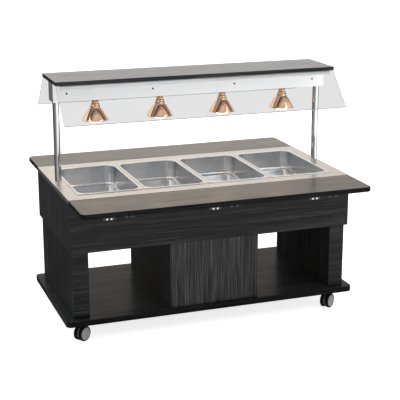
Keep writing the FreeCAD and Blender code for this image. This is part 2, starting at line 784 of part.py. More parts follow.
def well_tank():
    """Water tank welded from flat sheets, which hangs under the worktop by its flange."""
    hole_x = (WELL_HALF_LENGTH - OVERRUN, WELL_HALF_LENGTH + OVERRUN)
    tails = [element_rod(y, ELEMENT_RADIUS + SIDE_GAP, *hole_x) for y in element_rows()]
    right = cut_away(tank_end_wall(1), tails)
    return [tank_floor(), tank_long_wall(-1), tank_long_wall(1), tank_end_wall(-1), right]


def element_rows():
    """Places along Y of the straight runs of the heating element."""
    return [-ELEMENT_SPACING * 3 / 2, -ELEMENT_SPACING / 2, ELEMENT_SPACING / 2, ELEMENT_SPACING * 3 / 2]


def element_height():
    """Height of the heating element's centre line."""
    return TANK_BOTTOM + TANK_SHEET + ELEMENT_LIFT


def element_rod(y, radius, x0, x1):
    """Straight run of the heating element."""
    return rod(radius, (x0, y, element_height()), (x1, y, element_height()))


def element_nut(y, x):
    """Round nut that fits a run of the heating element and starts at x."""
    end = x + ELEMENT_NUT_THICKNESS
    nut = element_rod(y, ELEMENT_NUT_RADIUS, x, end)
    return nut.cut(element_rod(y, ELEMENT_RADIUS, x - OVERRUN, end + OVERRUN))


def heating_element():
    """Two hairpins of round tube, each clamped in the right end of the tank by its nuts."""
    rows = element_rows()
    outer = WELL_HALF_LENGTH + TANK_SHEET
    bend_x = -WELL_HALF_LENGTH + ELEMENT_END_SPACE + ELEMENT_SPACING / 2
    hairpins = []
    for low, high in zip(rows[0::2], rows[1::2]):
        centre = Vector(bend_x, (low + high) / 2, element_height())
        start = Vector(bend_x, low, element_height())
        section = Part.Face(Part.Wire(Part.makeCircle(ELEMENT_RADIUS, start, Vector(1, 0, 0))))
        runs = [element_rod(y, ELEMENT_RADIUS, bend_x, outer + ELEMENT_TAIL) for y in (low, high)]
        hairpins.append(joined([section.revolve(centre, Vector(0, 0, -1), HALF_TURN)] + runs))
    nuts = []
    for y in rows:
        nuts.append(element_nut(y, WELL_HALF_LENGTH - ELEMENT_NUT_THICKNESS))
        nuts.append(element_nut(y, outer))
    return hairpins + nuts


def drain_middle():
    """Height of the drain valve's centre."""
    return TANK_BOTTOM - DRAIN_DROP - DRAIN_BODY / 2


def drain_valve():
    """Drain pipe, square valve body and spout, with one bore through all of them."""
    place = (0, DRAIN_Y)
    half = DRAIN_BODY / 2
    middle = drain_middle()
    low = middle - half - DRAIN_SPOUT
    flange = upright(DRAIN_FLANGE_RADIUS, (TANK_BOTTOM - DRAIN_FLANGE_THICKNESS, TANK_BOTTOM), place)
    pipe = upright(DRAIN_PIPE_RADIUS, (low, TANK_BOTTOM), place)
    block = centred_box(half, half, (middle - half, middle + half), place)
    bore = upright(DRAIN_BORE_RADIUS, (low - OVERRUN, TANK_BOTTOM + OVERRUN), place)
    face = DRAIN_Y + half
    stem = rod(
        DRAIN_STEM_RADIUS + RUNNING_GAP,
        (0, face - DRAIN_STEM_DEPTH - SIDE_GAP, middle),
        (0, face + OVERRUN, middle),
    )
    return cut_away(joined([flange, pipe, block]), [bore, stem])


def drain_lever():
    """Stem and flat lever of the drain valve."""
    face = DRAIN_Y + DRAIN_BODY / 2
    middle = drain_middle()
    end = face + DRAIN_LEVER_STAND
    stem = rod(DRAIN_STEM_RADIUS, (0, face - DRAIN_STEM_DEPTH, middle), (0, end, middle))
    half = DRAIN_LEVER_WIDTH / 2
    blade = box((0, DRAIN_LEVER_REACH), (end - DRAIN_LEVER_THICKNESS, end), (middle - half, middle + half))
    eye = rod(half, (0, end - DRAIN_LEVER_THICKNESS, middle), (0, end, middle))
    return joined([stem, blade, eye])


def write_worktop():
    """Write the worktop, the pans and all that hangs under them."""
    write("worktop_plate", [worktop_plate()])
    write("pan_cross_bars", pan_cross_bars())
    for index, x in enumerate(pan_places(), start=1):
        write(f"pan_{index}", [pan(x)])
    write("well_tank", well_tank())
    write("heating_element", heating_element())
    write("drain_valve", [drain_valve()])
    write("drain_lever", [drain_lever()])


# Posts, canopy and glass

def posts():
    """Tubes from the worktop to the canopy board, each plugged at both ends, and their studs."""
    pieces = []
    for x in (-POST_X, POST_X):
        place = (x, 0)
        tube = upright(POST_RADIUS, (WORKTOP, BOARD_UNDER), place)
        hollow = upright(POST_RADIUS - POST_WALL, (WORKTOP + POST_PLUG, BOARD_UNDER - POST_PLUG), place)
        screw_hole = upright(SCREW_RADIUS, (BOARD_UNDER - POST_PLUG, BOARD_UNDER + OVERRUN), place)
        stud = upright(STUD_RADIUS, (WORKTOP - STUD_LENGTH, WORKTOP), place)
        nut = upright(STUD_NUT_RADIUS, (PLATE_UNDER - STUD_NUT_THICKNESS, PLATE_UNDER), place)
        pieces.append(cut_away(joined([tube, stud]), [hollow, screw_hole]))
        pieces.append(nut.cut(upright(STUD_RADIUS, (WORKTOP - STUD_LENGTH, WORKTOP), place)))
    return pieces


def housing_screw_places():
    """Places along X of the screws in the long faces of the lamp housing."""
    end = HOUSING_LENGTH / 2 - HOUSING_SCREW_INSET
    return [-end, -end / 3, end / 3, end]


def lamp_housing():
    """Trough of folded sheet with closed ends, open towards the canopy board."""
    half_x = HOUSING_LENGTH / 2
    half_y = HOUSING_DEPTH / 2
    outer = centred_box(half_x, half_y, (HOUSING_BOTTOM, BOARD_UNDER))
    inner = centred_box(
        half_x - HOUSING_SHEET,
        half_y - HOUSING_SHEET,
        (HOUSING_BOTTOM + HOUSING_SHEET, BOARD_UNDER + OVERRUN),
    )
    z = (HOUSING_BOTTOM - OVERRUN, HOUSING_BOTTOM + HOUSING_SHEET + OVERRUN)
    cuts = [inner]
    cuts += [upright(POST_RADIUS + POST_GAP, z, (x, 0)) for x in (-POST_X, POST_X)]
    cuts += [upright(STEM_RADIUS + POST_GAP, z, (x, 0)) for x in pan_places()]
    height = BOARD_UNDER - HOUSING_SCREW_DROP
    for x in housing_screw_places():
        reach = half_y + OVERRUN
        cuts.append(rod(SCREW_RADIUS + POST_GAP, (x, -reach, height), (x, reach, height)))
    return cut_away(outer, cuts)


def canopy_board():
    """Board over the lamps, drilled for the screws into the posts."""
    board = centred_box(BOARD_LENGTH / 2, BOARD_DEPTH / 2, (BOARD_UNDER, BOARD_TOP))
    z = (BOARD_UNDER - OVERRUN, BOARD_TOP + OVERRUN)
    return cut_away(board, [upright(SCREW_RADIUS + POST_GAP, z, (x, 0)) for x in (-POST_X, POST_X)])


def canopy_screws():
    """Screws down into the posts, and dark screws in both long faces of the housing."""
    pieces = []
    for x in (-POST_X, POST_X):
        shank = upright(SCREW_RADIUS, (BOARD_UNDER - POST_PLUG + SIDE_GAP, BOARD_TOP), (x, 0))
        head = upright(SCREW_HEAD_RADIUS, (BOARD_TOP, BOARD_TOP + SCREW_HEAD_HEIGHT), (x, 0))
        pieces.append(joined([shank, head]))
    height = BOARD_UNDER - HOUSING_SCREW_DROP
    face = HOUSING_DEPTH / 2
    for x in housing_screw_places():
        for side in (-1, 1):
            inner = side * (face - SCREW_LENGTH)
            outer = side * (face + SCREW_HEAD_HEIGHT)
            shank = rod(SCREW_RADIUS, (x, inner, height), (x, side * face, height))
            head = rod(SCREW_HEAD_RADIUS, (x, side * face, height), (x, outer, height))
            nut = rod(SCREW_HEAD_RADIUS, (x, inner, height), (x, side * (face - HOUSING_SHEET), height))
            pieces.append(joined([shank, head, nut]))
    return pieces


def glass_point(along, across):
    """Point of the front screen's section: along its slope, and across it towards the lamps."""
    tilt = math.radians(GLASS_TILT)
    y = -BOARD_DEPTH / 2 - along * math.sin(tilt) + across * math.cos(tilt)
    z = BOARD_UNDER - GLASS_EDGE_GAP - along * math.cos(tilt) - across * math.sin(tilt)
    return y, z


def front_glass():
    """Flat sheet of glass that slopes outwards from the board's front edge."""
    outline = [
        glass_point(0, 0),
        glass_point(GLASS_SLOPE_LENGTH, 0),
        glass_point(GLASS_SLOPE_LENGTH, GLASS_THICKNESS),
        glass_point(0, GLASS_THICKNESS),
    ]
    return prism_x(outline, (-GLASS_LENGTH / 2, GLASS_LENGTH / 2))


def glass_rail():
    """Bent strip under the board that grips the inner face of the front glass."""
    tilt = math.radians(GLASS_TILT)
    near = glass_point(0, GLASS_THICKNESS)
    rise = BOARD_UNDER - near[1]
    top_y = near[0] + rise * math.tan(tilt)
    thick = RAIL_SHEET / math.cos(tilt)
    outline = [
        (top_y, BOARD_UNDER),
        glass_point(RAIL_GRIP, GLASS_THICKNESS),
        glass_point(RAIL_GRIP, GLASS_THICKNESS + RAIL_SHEET),
        (top_y + thick - RAIL_SHEET * math.tan(tilt), BOARD_UNDER - RAIL_SHEET),
        (top_y + RAIL_FLANGE, BOARD_UNDER - RAIL_SHEET),
        (top_y + RAIL_FLANGE, BOARD_UNDER),
    ]
    end = GLASS_LENGTH / 2 - RAIL_END_INSET
    return prism_x(outline, (-end, end))


def write_canopy():
    """Write the posts, the canopy and the glass."""
    write("posts", posts())
    write("lamp_housing", [lamp_housing()])
    write("canopy_board", [canopy_board()])
    write("canopy_screws", canopy_screws())
    write("front_glass", [front_glass()])
    write("rear_glass", [turned_to_rear(front_glass())])
    write("glass_rails", [glass_rail(), turned_to_rear(glass_rail())])


# Heat lamps, one over each pan

def shade_outline(shares, inset):
    """Radius and height of the points of the shade that have these shares, moved inwards."""
    return [
        (radius * SHADE_RADIUS - inset, SHADE_TOP - drop * SHADE_HEIGHT)
        for radius, drop in shares
    ]


def lamp_shade(x):
    """Spun shade with a small upper tier, a bell and a flared rim."""
    outer = turned(shade_outline(SHADE_CROWN_SHARES + SHADE_BELL_SHARES, 0), (x, 0))
    profile = shade_outline(SHADE_BELL_SHARES, SHADE_SHEET)
    top = (profile[0][0], SOCKET_TOP)
    mouth = (profile[-1][0], profile[-1][1] - OVERRUN)
    inner = turned([top] + profile[1:] + [mouth], (x, 0))
    hole = upright(STEM_RADIUS + POST_GAP, (SOCKET_TOP - OVERRUN, SHADE_TOP + OVERRUN), (x, 0))
    return cut_away(outer, [inner, hole])


def lamp_holder(x):
    """Threaded stem, its collar and nut on the housing, and the socket in the shade."""
    inside = HOUSING_BOTTOM + HOUSING_SHEET
    stem = upright(STEM_RADIUS, (SOCKET_TOP, inside + STEM_NUT_HEIGHT + STEM_TAIL), (x, 0))
    collar = upright(STEM_COLLAR_RADIUS, (HOUSING_BOTTOM - STEM_COLLAR_HEIGHT, HOUSING_BOTTOM), (x, 0))
    nut = upright(STEM_NUT_RADIUS, (inside, inside + STEM_NUT_HEIGHT), (x, 0))
    socket = upright(SOCKET_RADIUS, (BULB_TOP, SOCKET_TOP), (x, 0))
    return joined([stem, collar, nut, socket])


def lamp_bulb(x):
    """Reflector bulb whose domed face stands a little below the rim."""
    outline = [
        (radius * BULB_RADIUS, BULB_TOP - drop * BULB_HEIGHT)
        for radius, drop in BULB_OUTLINE_SHARES
    ]
    return turned(outline, (x, 0))


def write_lamps():
    """Write the shades, holders and bulbs."""
    places = pan_places()
    write("lamp_shades", [lamp_shade(x) for x in places])
    write("lamp_holders", [lamp_holder(x) for x in places])
    write("lamp_bulbs", [lamp_bulb(x) for x in places])


# Folding shelves: the front one is modelled, and a copy is turned to the rear

def hinge_places():
    """Places of the hinges along X."""
    first = -(HINGE_COUNT - 1) * HINGE_SPACING / 2
    return [first + index * HINGE_SPACING for index in range(HINGE_COUNT)]


def stay_places():
    """Places of the stays along X."""
    return [x + STAY_OFFSET for x in hinge_places()]


def shelf():
    """Shelf board with rounded outer corners and an eased outer edge."""
    inner = -HALF_PLATE - SHELF_INNER_GAP
    outer = inner - SHELF_WIDTH
    board = box((-HALF_BODY, HALF_BODY), (outer, inner), (SHELF_UNDER, WORKTOP))
    corners = []
    for edge in edges_along(board, Vector(0, 0, 1)):
        if edge.BoundBox.YMax < (inner + outer) / 2:
            corners.append(edge)
    board = board.makeFillet(SHELF_CORNER, corners)
    rim = []
    for edge in edges_at_height(board, WORKTOP) + edges_at_height(board, SHELF_UNDER):
        if edge.BoundBox.YMin < inner - SHELF_CORNER:
            rim.append(edge)
    return board.makeFillet(SHELF_EDGE, rim)


def shelf_point(out, rise):
    """Point of a section through the hinge axis: outwards from it, and above it."""
    return HINGE_Y - out, HINGE_Z + rise


def knuckle_spans(x):
    """The two outer knuckles and the middle one of a hinge, along X."""
    half = HINGE_WIDTH / 2
    inner = half - KNUCKLE_END
    outer = [(x - half, x - inner), (x + inner, x + half)]
    return outer, (x - inner + SIDE_GAP, x + inner - SIDE_GAP)


def knuckle(radius, x):
    """Cylinder on the hinge axis of the shelf."""
    return rod(radius, (x[0], HINGE_Y, HINGE_Z), (x[1], HINGE_Y, HINGE_Z))


def fixed_leaf(x):
    """Leaf screwed to the apron, cranked out to its two knuckles."""
    half = HINGE_WIDTH / 2
    face = -HALF_APRON
    outer, _ = knuckle_spans(x)
    low = HINGE_Z - HINGE_LEAF_DROP
    shapes = [box((x - half, x + half), (face - HINGE_SHEET, face), (low, HINGE_Z + HINGE_SHEET / 2))]
    for span in outer:
        shapes.append(box(span, (HINGE_Y, face), (HINGE_Z - HINGE_SHEET / 2, HINGE_Z + HINGE_SHEET / 2)))
        shapes.append(knuckle(KNUCKLE_RADIUS, span))
    bore = knuckle(HINGE_PIN_RADIUS, (x - half - OVERRUN, x + half + OVERRUN))
    screws = []
    for side in (-1, 1):
        screw_x = x + side * LEAF_SCREW_SPACING / 2
        z = low + LEAF_SCREW_INSET
        start = (screw_x, face - HINGE_SHEET, z)
        screws.append(rod(SCREW_HEAD_RADIUS, start, (screw_x, face - HINGE_SHEET - SCREW_HEAD_HEIGHT, z)))
    return joined(shapes + screws).cut(bore)


def hinge_pin(x):
    """Pin of one shelf hinge."""
    return knuckle(HINGE_PIN_RADIUS, (x - HINGE_WIDTH / 2, x + HINGE_WIDTH / 2))


def moving_leaf(x):
    """Leaf screwed under the shelf, with the middle knuckle."""
    half = HINGE_WIDTH / 2
    _, middle = knuckle_spans(x)
    y = (HINGE_Y - HINGE_LEAF_REACH, HINGE_Y + HINGE_SHEET / 2)
    plate = box((x - half, x + half), y, (SHELF_UNDER - HINGE_SHEET, SHELF_UNDER))
    web = box(middle, (HINGE_Y - HINGE_SHEET / 2, HINGE_Y + HINGE_SHEET / 2), (HINGE_Z, SHELF_UNDER))
    bore = knuckle(HINGE_PIN_RADIUS + RUNNING_GAP, (x - half - OVERRUN, x + half + OVERRUN))
    return joined([plate, web, knuckle(KNUCKLE_RADIUS, middle)]).cut(bore)


def foot_point():
    """Place of a stay's lower pivot, out from the hinge axis and above it."""
    return STAY_FOOT_OUT - HINGE_OUT, -STAY_FOOT_DROP


def head_point():
    """Place of a stay's upper pivot with the shelf up."""
    return STAY_HEAD_OUT, HINGE_DROP - STAY_HEAD_DROP


def folded_head():
    """Place of a stay's upper pivot with the shelf down."""
    out, rise = head_point()
    fold = math.radians(SHELF_FOLD)
    return out * math.cos(fold) + rise * math.sin(fold), rise * math.cos(fold) - out * math.sin(fold)


def link_lengths():
    """Lengths of the lower and upper link, so that they lie straight when up and flat when down."""
    straight = math.dist(foot_point(), head_point()) + LINK_SLACK
    folded = math.dist(foot_point(), folded_head()) - LINK_FOLD_SLACK
    return (straight - folded) / 2, (straight + folded) / 2


def elbow(foot, head, sign):
    """Where the two links meet for the given ends, on one side of the line between them."""
    lower, upper = link_lengths()
    span = math.dist(foot, head)
    along = (lower ** 2 - upper ** 2 + span ** 2) / (2 * span)
    across = sign * math.sqrt(max(lower ** 2 - along ** 2, 0))
    dx = (head[0] - foot[0]) / span
    dz = (head[1] - foot[1]) / span
    return foot[0] + along * dx - across * dz, foot[1] + along * dz + across * dx


def stay_angles():
    """Turn of the lower link, and of the upper link against the shelf, as the shelf folds down."""
    foot = foot_point()
    raised = elbow(foot, head_point(), 1)
    lowered = elbow(foot, folded_head(), 1)
    lower_start = math.atan2(raised[1] - foot[1], raised[0] - foot[0])
    lower_end = math.atan2(lowered[1] - foot[1], lowered[0] - foot[0])
    upper_start = math.atan2(raised[1] - head_point()[1], raised[0] - head_point()[0])
    upper_end = math.atan2(lowered[1] - folded_head()[1], lowered[0] - folded_head()[0])
    turn_lower = math.degrees(lower_end - lower_start)
    turn_upper = math.degrees(upper_end - upper_start) + SHELF_FOLD
    return turn_lower % FULL_TURN, (turn_upper + HALF_TURN) % FULL_TURN - HALF_TURN


def link_layers(x):
    """Spans along X of a stay's lower link, upper link, fixed ear and shelf ear."""
    half = LINK_GAP / 2
    lower = (x - half - LINK_THICKNESS, x - half)
    upper = (x + half, x + half + LINK_THICKNESS)
    wall_ear = (lower[0] - SIDE_GAP - EAR_THICKNESS, lower[0] - SIDE_GAP)
    shelf_ear = (upper[1] + SIDE_GAP, upper[1] + SIDE_GAP + EAR_THICKNESS)
    return lower, upper, wall_ear, shelf_ear


def cross_rod(radius, x, point):
    """Round bar along X through a point given from the hinge axis."""
    y, z = shelf_point(*point)
    return rod(radius, (x[0], y, z), (x[1], y, z))


def link(x, start, end):
    """Flat bar with round ends, drilled where it turns on its pivot at start."""
    dx, dz = end[0] - start[0], end[1] - start[1]
    length = math.hypot(dx, dz)
    nx, nz = -dz / length * LINK_WIDTH / 2, dx / length * LINK_WIDTH / 2
    corners = [
        shelf_point(start[0] + nx, start[1] + nz),
        shelf_point(end[0] + nx, end[1] + nz),
        shelf_point(end[0] - nx, end[1] - nz),
        shelf_point(start[0] - nx, start[1] - nz),
    ]
    ends = [cross_rod(LINK_WIDTH / 2, x, point) for point in (start, end)]
    bar = joined([prism_x(corners, x)] + ends)
    bore_x = (x[0] - OVERRUN, x[1] + OVERRUN)
    return bar.cut(cross_rod(LINK_PIN_RADIUS + RUNNING_GAP, bore_x, start))


def wall_bracket(x):
    """Plate on the apron with the ear and pin that the lower link turns on."""
    lower, _, ear, _ = link_layers(x)
    face = -HALF_APRON
    y, z = shelf_point(*foot_point())
    half = STAY_PLATE_WIDTH / 2
    low = z - LINK_WIDTH
    plate = box((x - half, x + half), (face - HINGE_SHEET, face), (low, low + STAY_PLATE_HEIGHT))
    reach = LINK_PIN_RADIUS + EAR_MARGIN
    wing = box(ear, (y, face), (z - reach, z + reach))
    tip = cross_rod(reach, ear, foot_point())
    pin = cross_rod(LINK_PIN_RADIUS, (ear[1], lower[1]), foot_point())
    return joined([plate, wing, tip, pin])


def shelf_bracket(x):
    """Plate under the shelf with the ear and pin that the upper link turns on."""
    _, upper, _, ear = link_layers(x)
    y, z = shelf_point(*head_point())
    half = STAY_HEAD_PLATE / 2
    plate = box((x - half, x + half), (y - half, y + half), (SHELF_UNDER - STAY_HEAD_SHEET, SHELF_UNDER))
    reach = LINK_PIN_RADIUS + EAR_MARGIN / 2
    wing = box(ear, (y - reach, y + reach), (z, SHELF_UNDER))
    tip = cross_rod(reach, ear, head_point())
    pin = cross_rod(LINK_PIN_RADIUS, (upper[0], ear[0]), head_point())
    return joined([plate, wing, tip, pin])


def lower_link(x):
    """Short link on the apron's bracket."""
    lower, _, _, _ = link_layers(x)
    return link(lower, foot_point(), elbow(foot_point(), head_point(), 1))


def upper_link(x):
    """Long link on the shelf's bracket, with the rivet head of the elbow."""
    _, upper, _, _ = link_layers(x)
    middle = elbow(foot_point(), head_point(), 1)
    bar = link(upper, head_point(), middle)
    return joined([bar, cross_rod(LINK_RIVET_RADIUS, (upper[1], upper[1] + LINK_RIVET_HEIGHT), middle)])


def write_shelves():
    """Write both shelves with their hinges and stays."""
    hinges = hinge_places()
    stays = stay_places()
    nodes = {
        "shelf": [shelf()],
        "shelf_brackets": [fixed_leaf(x) for x in hinges] + [hinge_pin(x) for x in hinges]
        + [wall_bracket(x) for x in stays],
        "shelf_arms": [moving_leaf(x) for x in hinges] + [shelf_bracket(x) for x in stays],
        "lower_links": [lower_link(x) for x in stays],
        "upper_links": [upper_link(x) for x in stays],
    }
    for name, solids in nodes.items():
        write(f"front_{name}", solids)
        write(f"rear_{name}", [turned_to_rear(solid) for solid in solids])


# Controls on the right end

def end_rod(radius, depth, y=0, z=CONTROL_Z):
    """Round bar square to the right end, between two distances from the end panel's face."""
    return rod(radius, (HALF_BODY + depth[0], y, z), (HALF_BODY + depth[1], y, z))


def end_box(depth, half_y, half_z, y=0, z=CONTROL_Z):
    """Box square to the right end."""
    x = (HALF_BODY + depth[0], HALF_BODY + depth[1])
    return box(x, (y - half_y, y + half_y), (z - half_z, z + half_z))


def control_panel():
    """Control plate, the box behind it, and the raised frame round the switch."""
    plate = end_box((0, CONTROL_SHEET), CONTROL_WIDTH / 2, CONTROL_HEIGHT / 2)
    slot_y = SWITCH_WIDTH / 2 + SIDE_GAP
    slot_z = SWITCH_HALF_HEIGHT + SWITCH_GAP
    frame = end_box(
        (CONTROL_SHEET, CONTROL_SHEET + SWITCH_BEZEL_HEIGHT),
        slot_y + SWITCH_BEZEL,
        slot_z + SWITCH_BEZEL,
        CONTROL_SPACING,
    )
    body_y = CONTROL_WIDTH / 2 - CONTROL_CUTOUT_MARGIN - SIDE_GAP
    body_z = CONTROL_HEIGHT / 2 - CONTROL_CUTOUT_MARGIN - SIDE_GAP
    outer = end_box((-CONTROL_BOX_DEPTH, 0), body_y, body_z)
    inner = end_box(
        (-CONTROL_BOX_DEPTH + CONTROL_SHEET, OVERRUN),
        body_y - CONTROL_SHEET,
        body_z - CONTROL_SHEET,
    )
    slot = end_box((-OVERRUN, CONTROL_BOX_DEPTH), slot_y, slot_z, CONTROL_SPACING)
    stem = end_rod(KNOB_STEM_RADIUS + RUNNING_GAP, (-CONTROL_BOX_DEPTH, CONTROL_BOX_DEPTH))
    pilot = end_rod(PILOT_BORE, (-OVERRUN, CONTROL_BOX_DEPTH), -CONTROL_SPACING)
    shell = outer.cut(inner)
    front = cut_away(joined([plate, frame]), [slot, stem, pilot])
    body_depth = (-KNOB_STEM_LENGTH - CONTROL_SHEET, 0)
    thermostat = end_box(body_depth, THERMOSTAT_BODY / 2, THERMOSTAT_BODY / 2).cut(stem)
    return [joined([shell, front]), thermostat]


def thermostat_knob():
    """Round knob with a skirt, a raised pointer and its stem."""
    start = CONTROL_SHEET + SIDE_GAP
    skirt = end_rod(KNOB_SKIRT_RADIUS, (start, start + KNOB_SKIRT_LENGTH))
    grip = end_rod(KNOB_RADIUS, (start, start + KNOB_LENGTH))
    end = start + KNOB_LENGTH
    pointer = box(
        (HALF_BODY + end - KNOB_POINTER_DEPTH, HALF_BODY + end + KNOB_POINTER_DEPTH),
        (-KNOB_POINTER_WIDTH / 2, KNOB_POINTER_WIDTH / 2),
        (CONTROL_Z, CONTROL_Z + KNOB_RADIUS - KNOB_POINTER_WIDTH),
    )
    stem = end_rod(KNOB_STEM_RADIUS, (-KNOB_STEM_LENGTH, start))
    return joined([skirt, grip, pointer, stem])


def rocker_switch():
    """Rocker with two sloping faces, tilted to its off position."""
    half = SWITCH_WIDTH / 2
    centre = Vector(HALF_BODY, CONTROL_SPACING, CONTROL_Z)
    outline = [
        (-SWITCH_BACK, -SWITCH_HALF_HEIGHT + SWITCH_BACK),
        (-SWITCH_BACK, SWITCH_HALF_HEIGHT - SWITCH_BACK),
        (0, SWITCH_HALF_HEIGHT),
        (SWITCH_FRONT, SWITCH_HALF_HEIGHT),
        (SWITCH_DIP, 0),
        (SWITCH_FRONT, -SWITCH_HALF_HEIGHT),
        (0, -SWITCH_HALF_HEIGHT),
    ]
    points = [Vector(centre.x + px, centre.y - half, centre.z + pz) for px, pz in outline]
    solid = Part.Face(Part.makePolygon(points + points[:1])).extrude(Vector(0, SWITCH_WIDTH, 0))
    solid.rotate(centre, Vector(0, 1, 0), SWITCH_TILT)
    return solid


def pilot_light():
    """Small round lens over its hole in the control plate."""
    y = -CONTROL_SPACING
    lens = end_rod(PILOT_RADIUS, (CONTROL_SHEET, CONTROL_SHEET + PILOT_HEIGHT), y)
    edges = [edge for edge in lens.Edges if edge.BoundBox.XMin > HALF_BODY + CONTROL_SHEET + SIDE_GAP]
    edges = [edge for edge in edges if edge.Curve.TypeId == "Part::GeomCircle"]
    lens = lens.makeFillet(CONTROL_SHEET, edges)
    return joined([lens, end_rod(PILOT_BORE - SIDE_GAP, (0, CONTROL_SHEET), y)])


def cable_gland():
    """Gland through the right end panel, with a bore for the supply lead."""
    z = gland_place()
    nut = end_rod(GLAND_RADIUS, (0, GLAND_LENGTH), 0, z)
    edges = [edge for edge in nut.Edges if edge.BoundBox.XMin > HALF_BODY + GLAND_LENGTH - SIDE_GAP]
    nut = nut.makeChamfer(GLAND_RADIUS - GLAND_NECK_RADIUS, edges)
    neck = end_rod(GLAND_NECK_RADIUS, (-PANEL, 0), 0, z)
    inner_nut = end_rod(GLAND_RADIUS, (-PANEL - GLAND_NECK_RADIUS, -PANEL), 0, z)
    bore = end_rod(GLAND_BORE_RADIUS, (-PANEL - GLAND_LENGTH, GLAND_LENGTH + OVERRUN), 0, z)
    return joined([nut, neck, inner_nut]).cut(bore)


def write_controls():
    """Write the controls and the gland."""
    write("control_panel", control_panel())
    write("thermostat_knob", [thermostat_knob()])
    write("rocker_switch", [rocker_switch()])
    write("pilot_light", [pilot_light()])
    write("cable_gland", [cable_gland()])


def main():
    """Write every node of the trolley."""
    os.makedirs("parts", exist_ok=True)
    write_casters()
    write_body()
    write_worktop()
    write_canopy()
    write_lamps()
    write_shelves()
    write_controls()
    turn_lower, turn_upper = stay_angles()
    print(f"Stay links turn {turn_lower:.3f} and {turn_upper:.3f} degrees while the shelf folds.")


main()
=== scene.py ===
import json
import logging
import math
from dataclasses import dataclass, field
from enum import Enum
from functools import partial, reduce
from typing import Iterable, Optional, Sequence

import bmesh
import bpy
from mathutils import Matrix, Vector


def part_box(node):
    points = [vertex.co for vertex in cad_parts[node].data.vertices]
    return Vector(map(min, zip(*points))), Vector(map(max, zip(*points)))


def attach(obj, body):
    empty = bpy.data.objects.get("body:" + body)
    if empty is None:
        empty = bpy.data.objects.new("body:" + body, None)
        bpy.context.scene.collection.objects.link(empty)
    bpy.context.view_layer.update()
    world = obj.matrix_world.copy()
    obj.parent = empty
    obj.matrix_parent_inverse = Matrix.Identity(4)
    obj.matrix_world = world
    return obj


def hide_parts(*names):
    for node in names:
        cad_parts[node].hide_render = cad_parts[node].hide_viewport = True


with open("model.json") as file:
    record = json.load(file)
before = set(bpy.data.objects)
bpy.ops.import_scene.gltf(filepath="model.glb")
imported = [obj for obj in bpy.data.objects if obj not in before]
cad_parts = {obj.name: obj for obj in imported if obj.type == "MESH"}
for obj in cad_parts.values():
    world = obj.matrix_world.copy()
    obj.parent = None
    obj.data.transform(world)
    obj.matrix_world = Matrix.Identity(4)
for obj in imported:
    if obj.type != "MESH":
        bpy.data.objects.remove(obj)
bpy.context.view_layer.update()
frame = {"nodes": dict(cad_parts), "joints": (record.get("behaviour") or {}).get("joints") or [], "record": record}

# Looks of a heated buffet trolley. Every length is in metres, in the frame's own axes.

LOG = logging.getLogger("trolley")
UP = Vector((0.0, 0.0, 1.0))
RIGHT = Vector((1.0, 0.0, 0.0))
UNIT = (0.0, 1.0)
WHITE = (1.0, 1.0, 1.0)
MERGE_DISTANCE = 1e-6
CORNER_STEPS = 10
SHARP_EDGE = math.radians(40)
FLAT_JOIN = math.radians(0.5)
NUT_EASE = 0.0006
DEGREES_PER_BEND_STEP = 8

Node = bpy.types.Node
Socket = bpy.types.NodeSocket
Faces = list[bmesh.types.BMFace]
Point = tuple[float, float]
Outline = Sequence[Point]


class Along(Enum):
    """Axis of the frame that a grain, a brushing or a board follows."""

    X = 0
    Y = 1
    Z = 2


# Node helpers

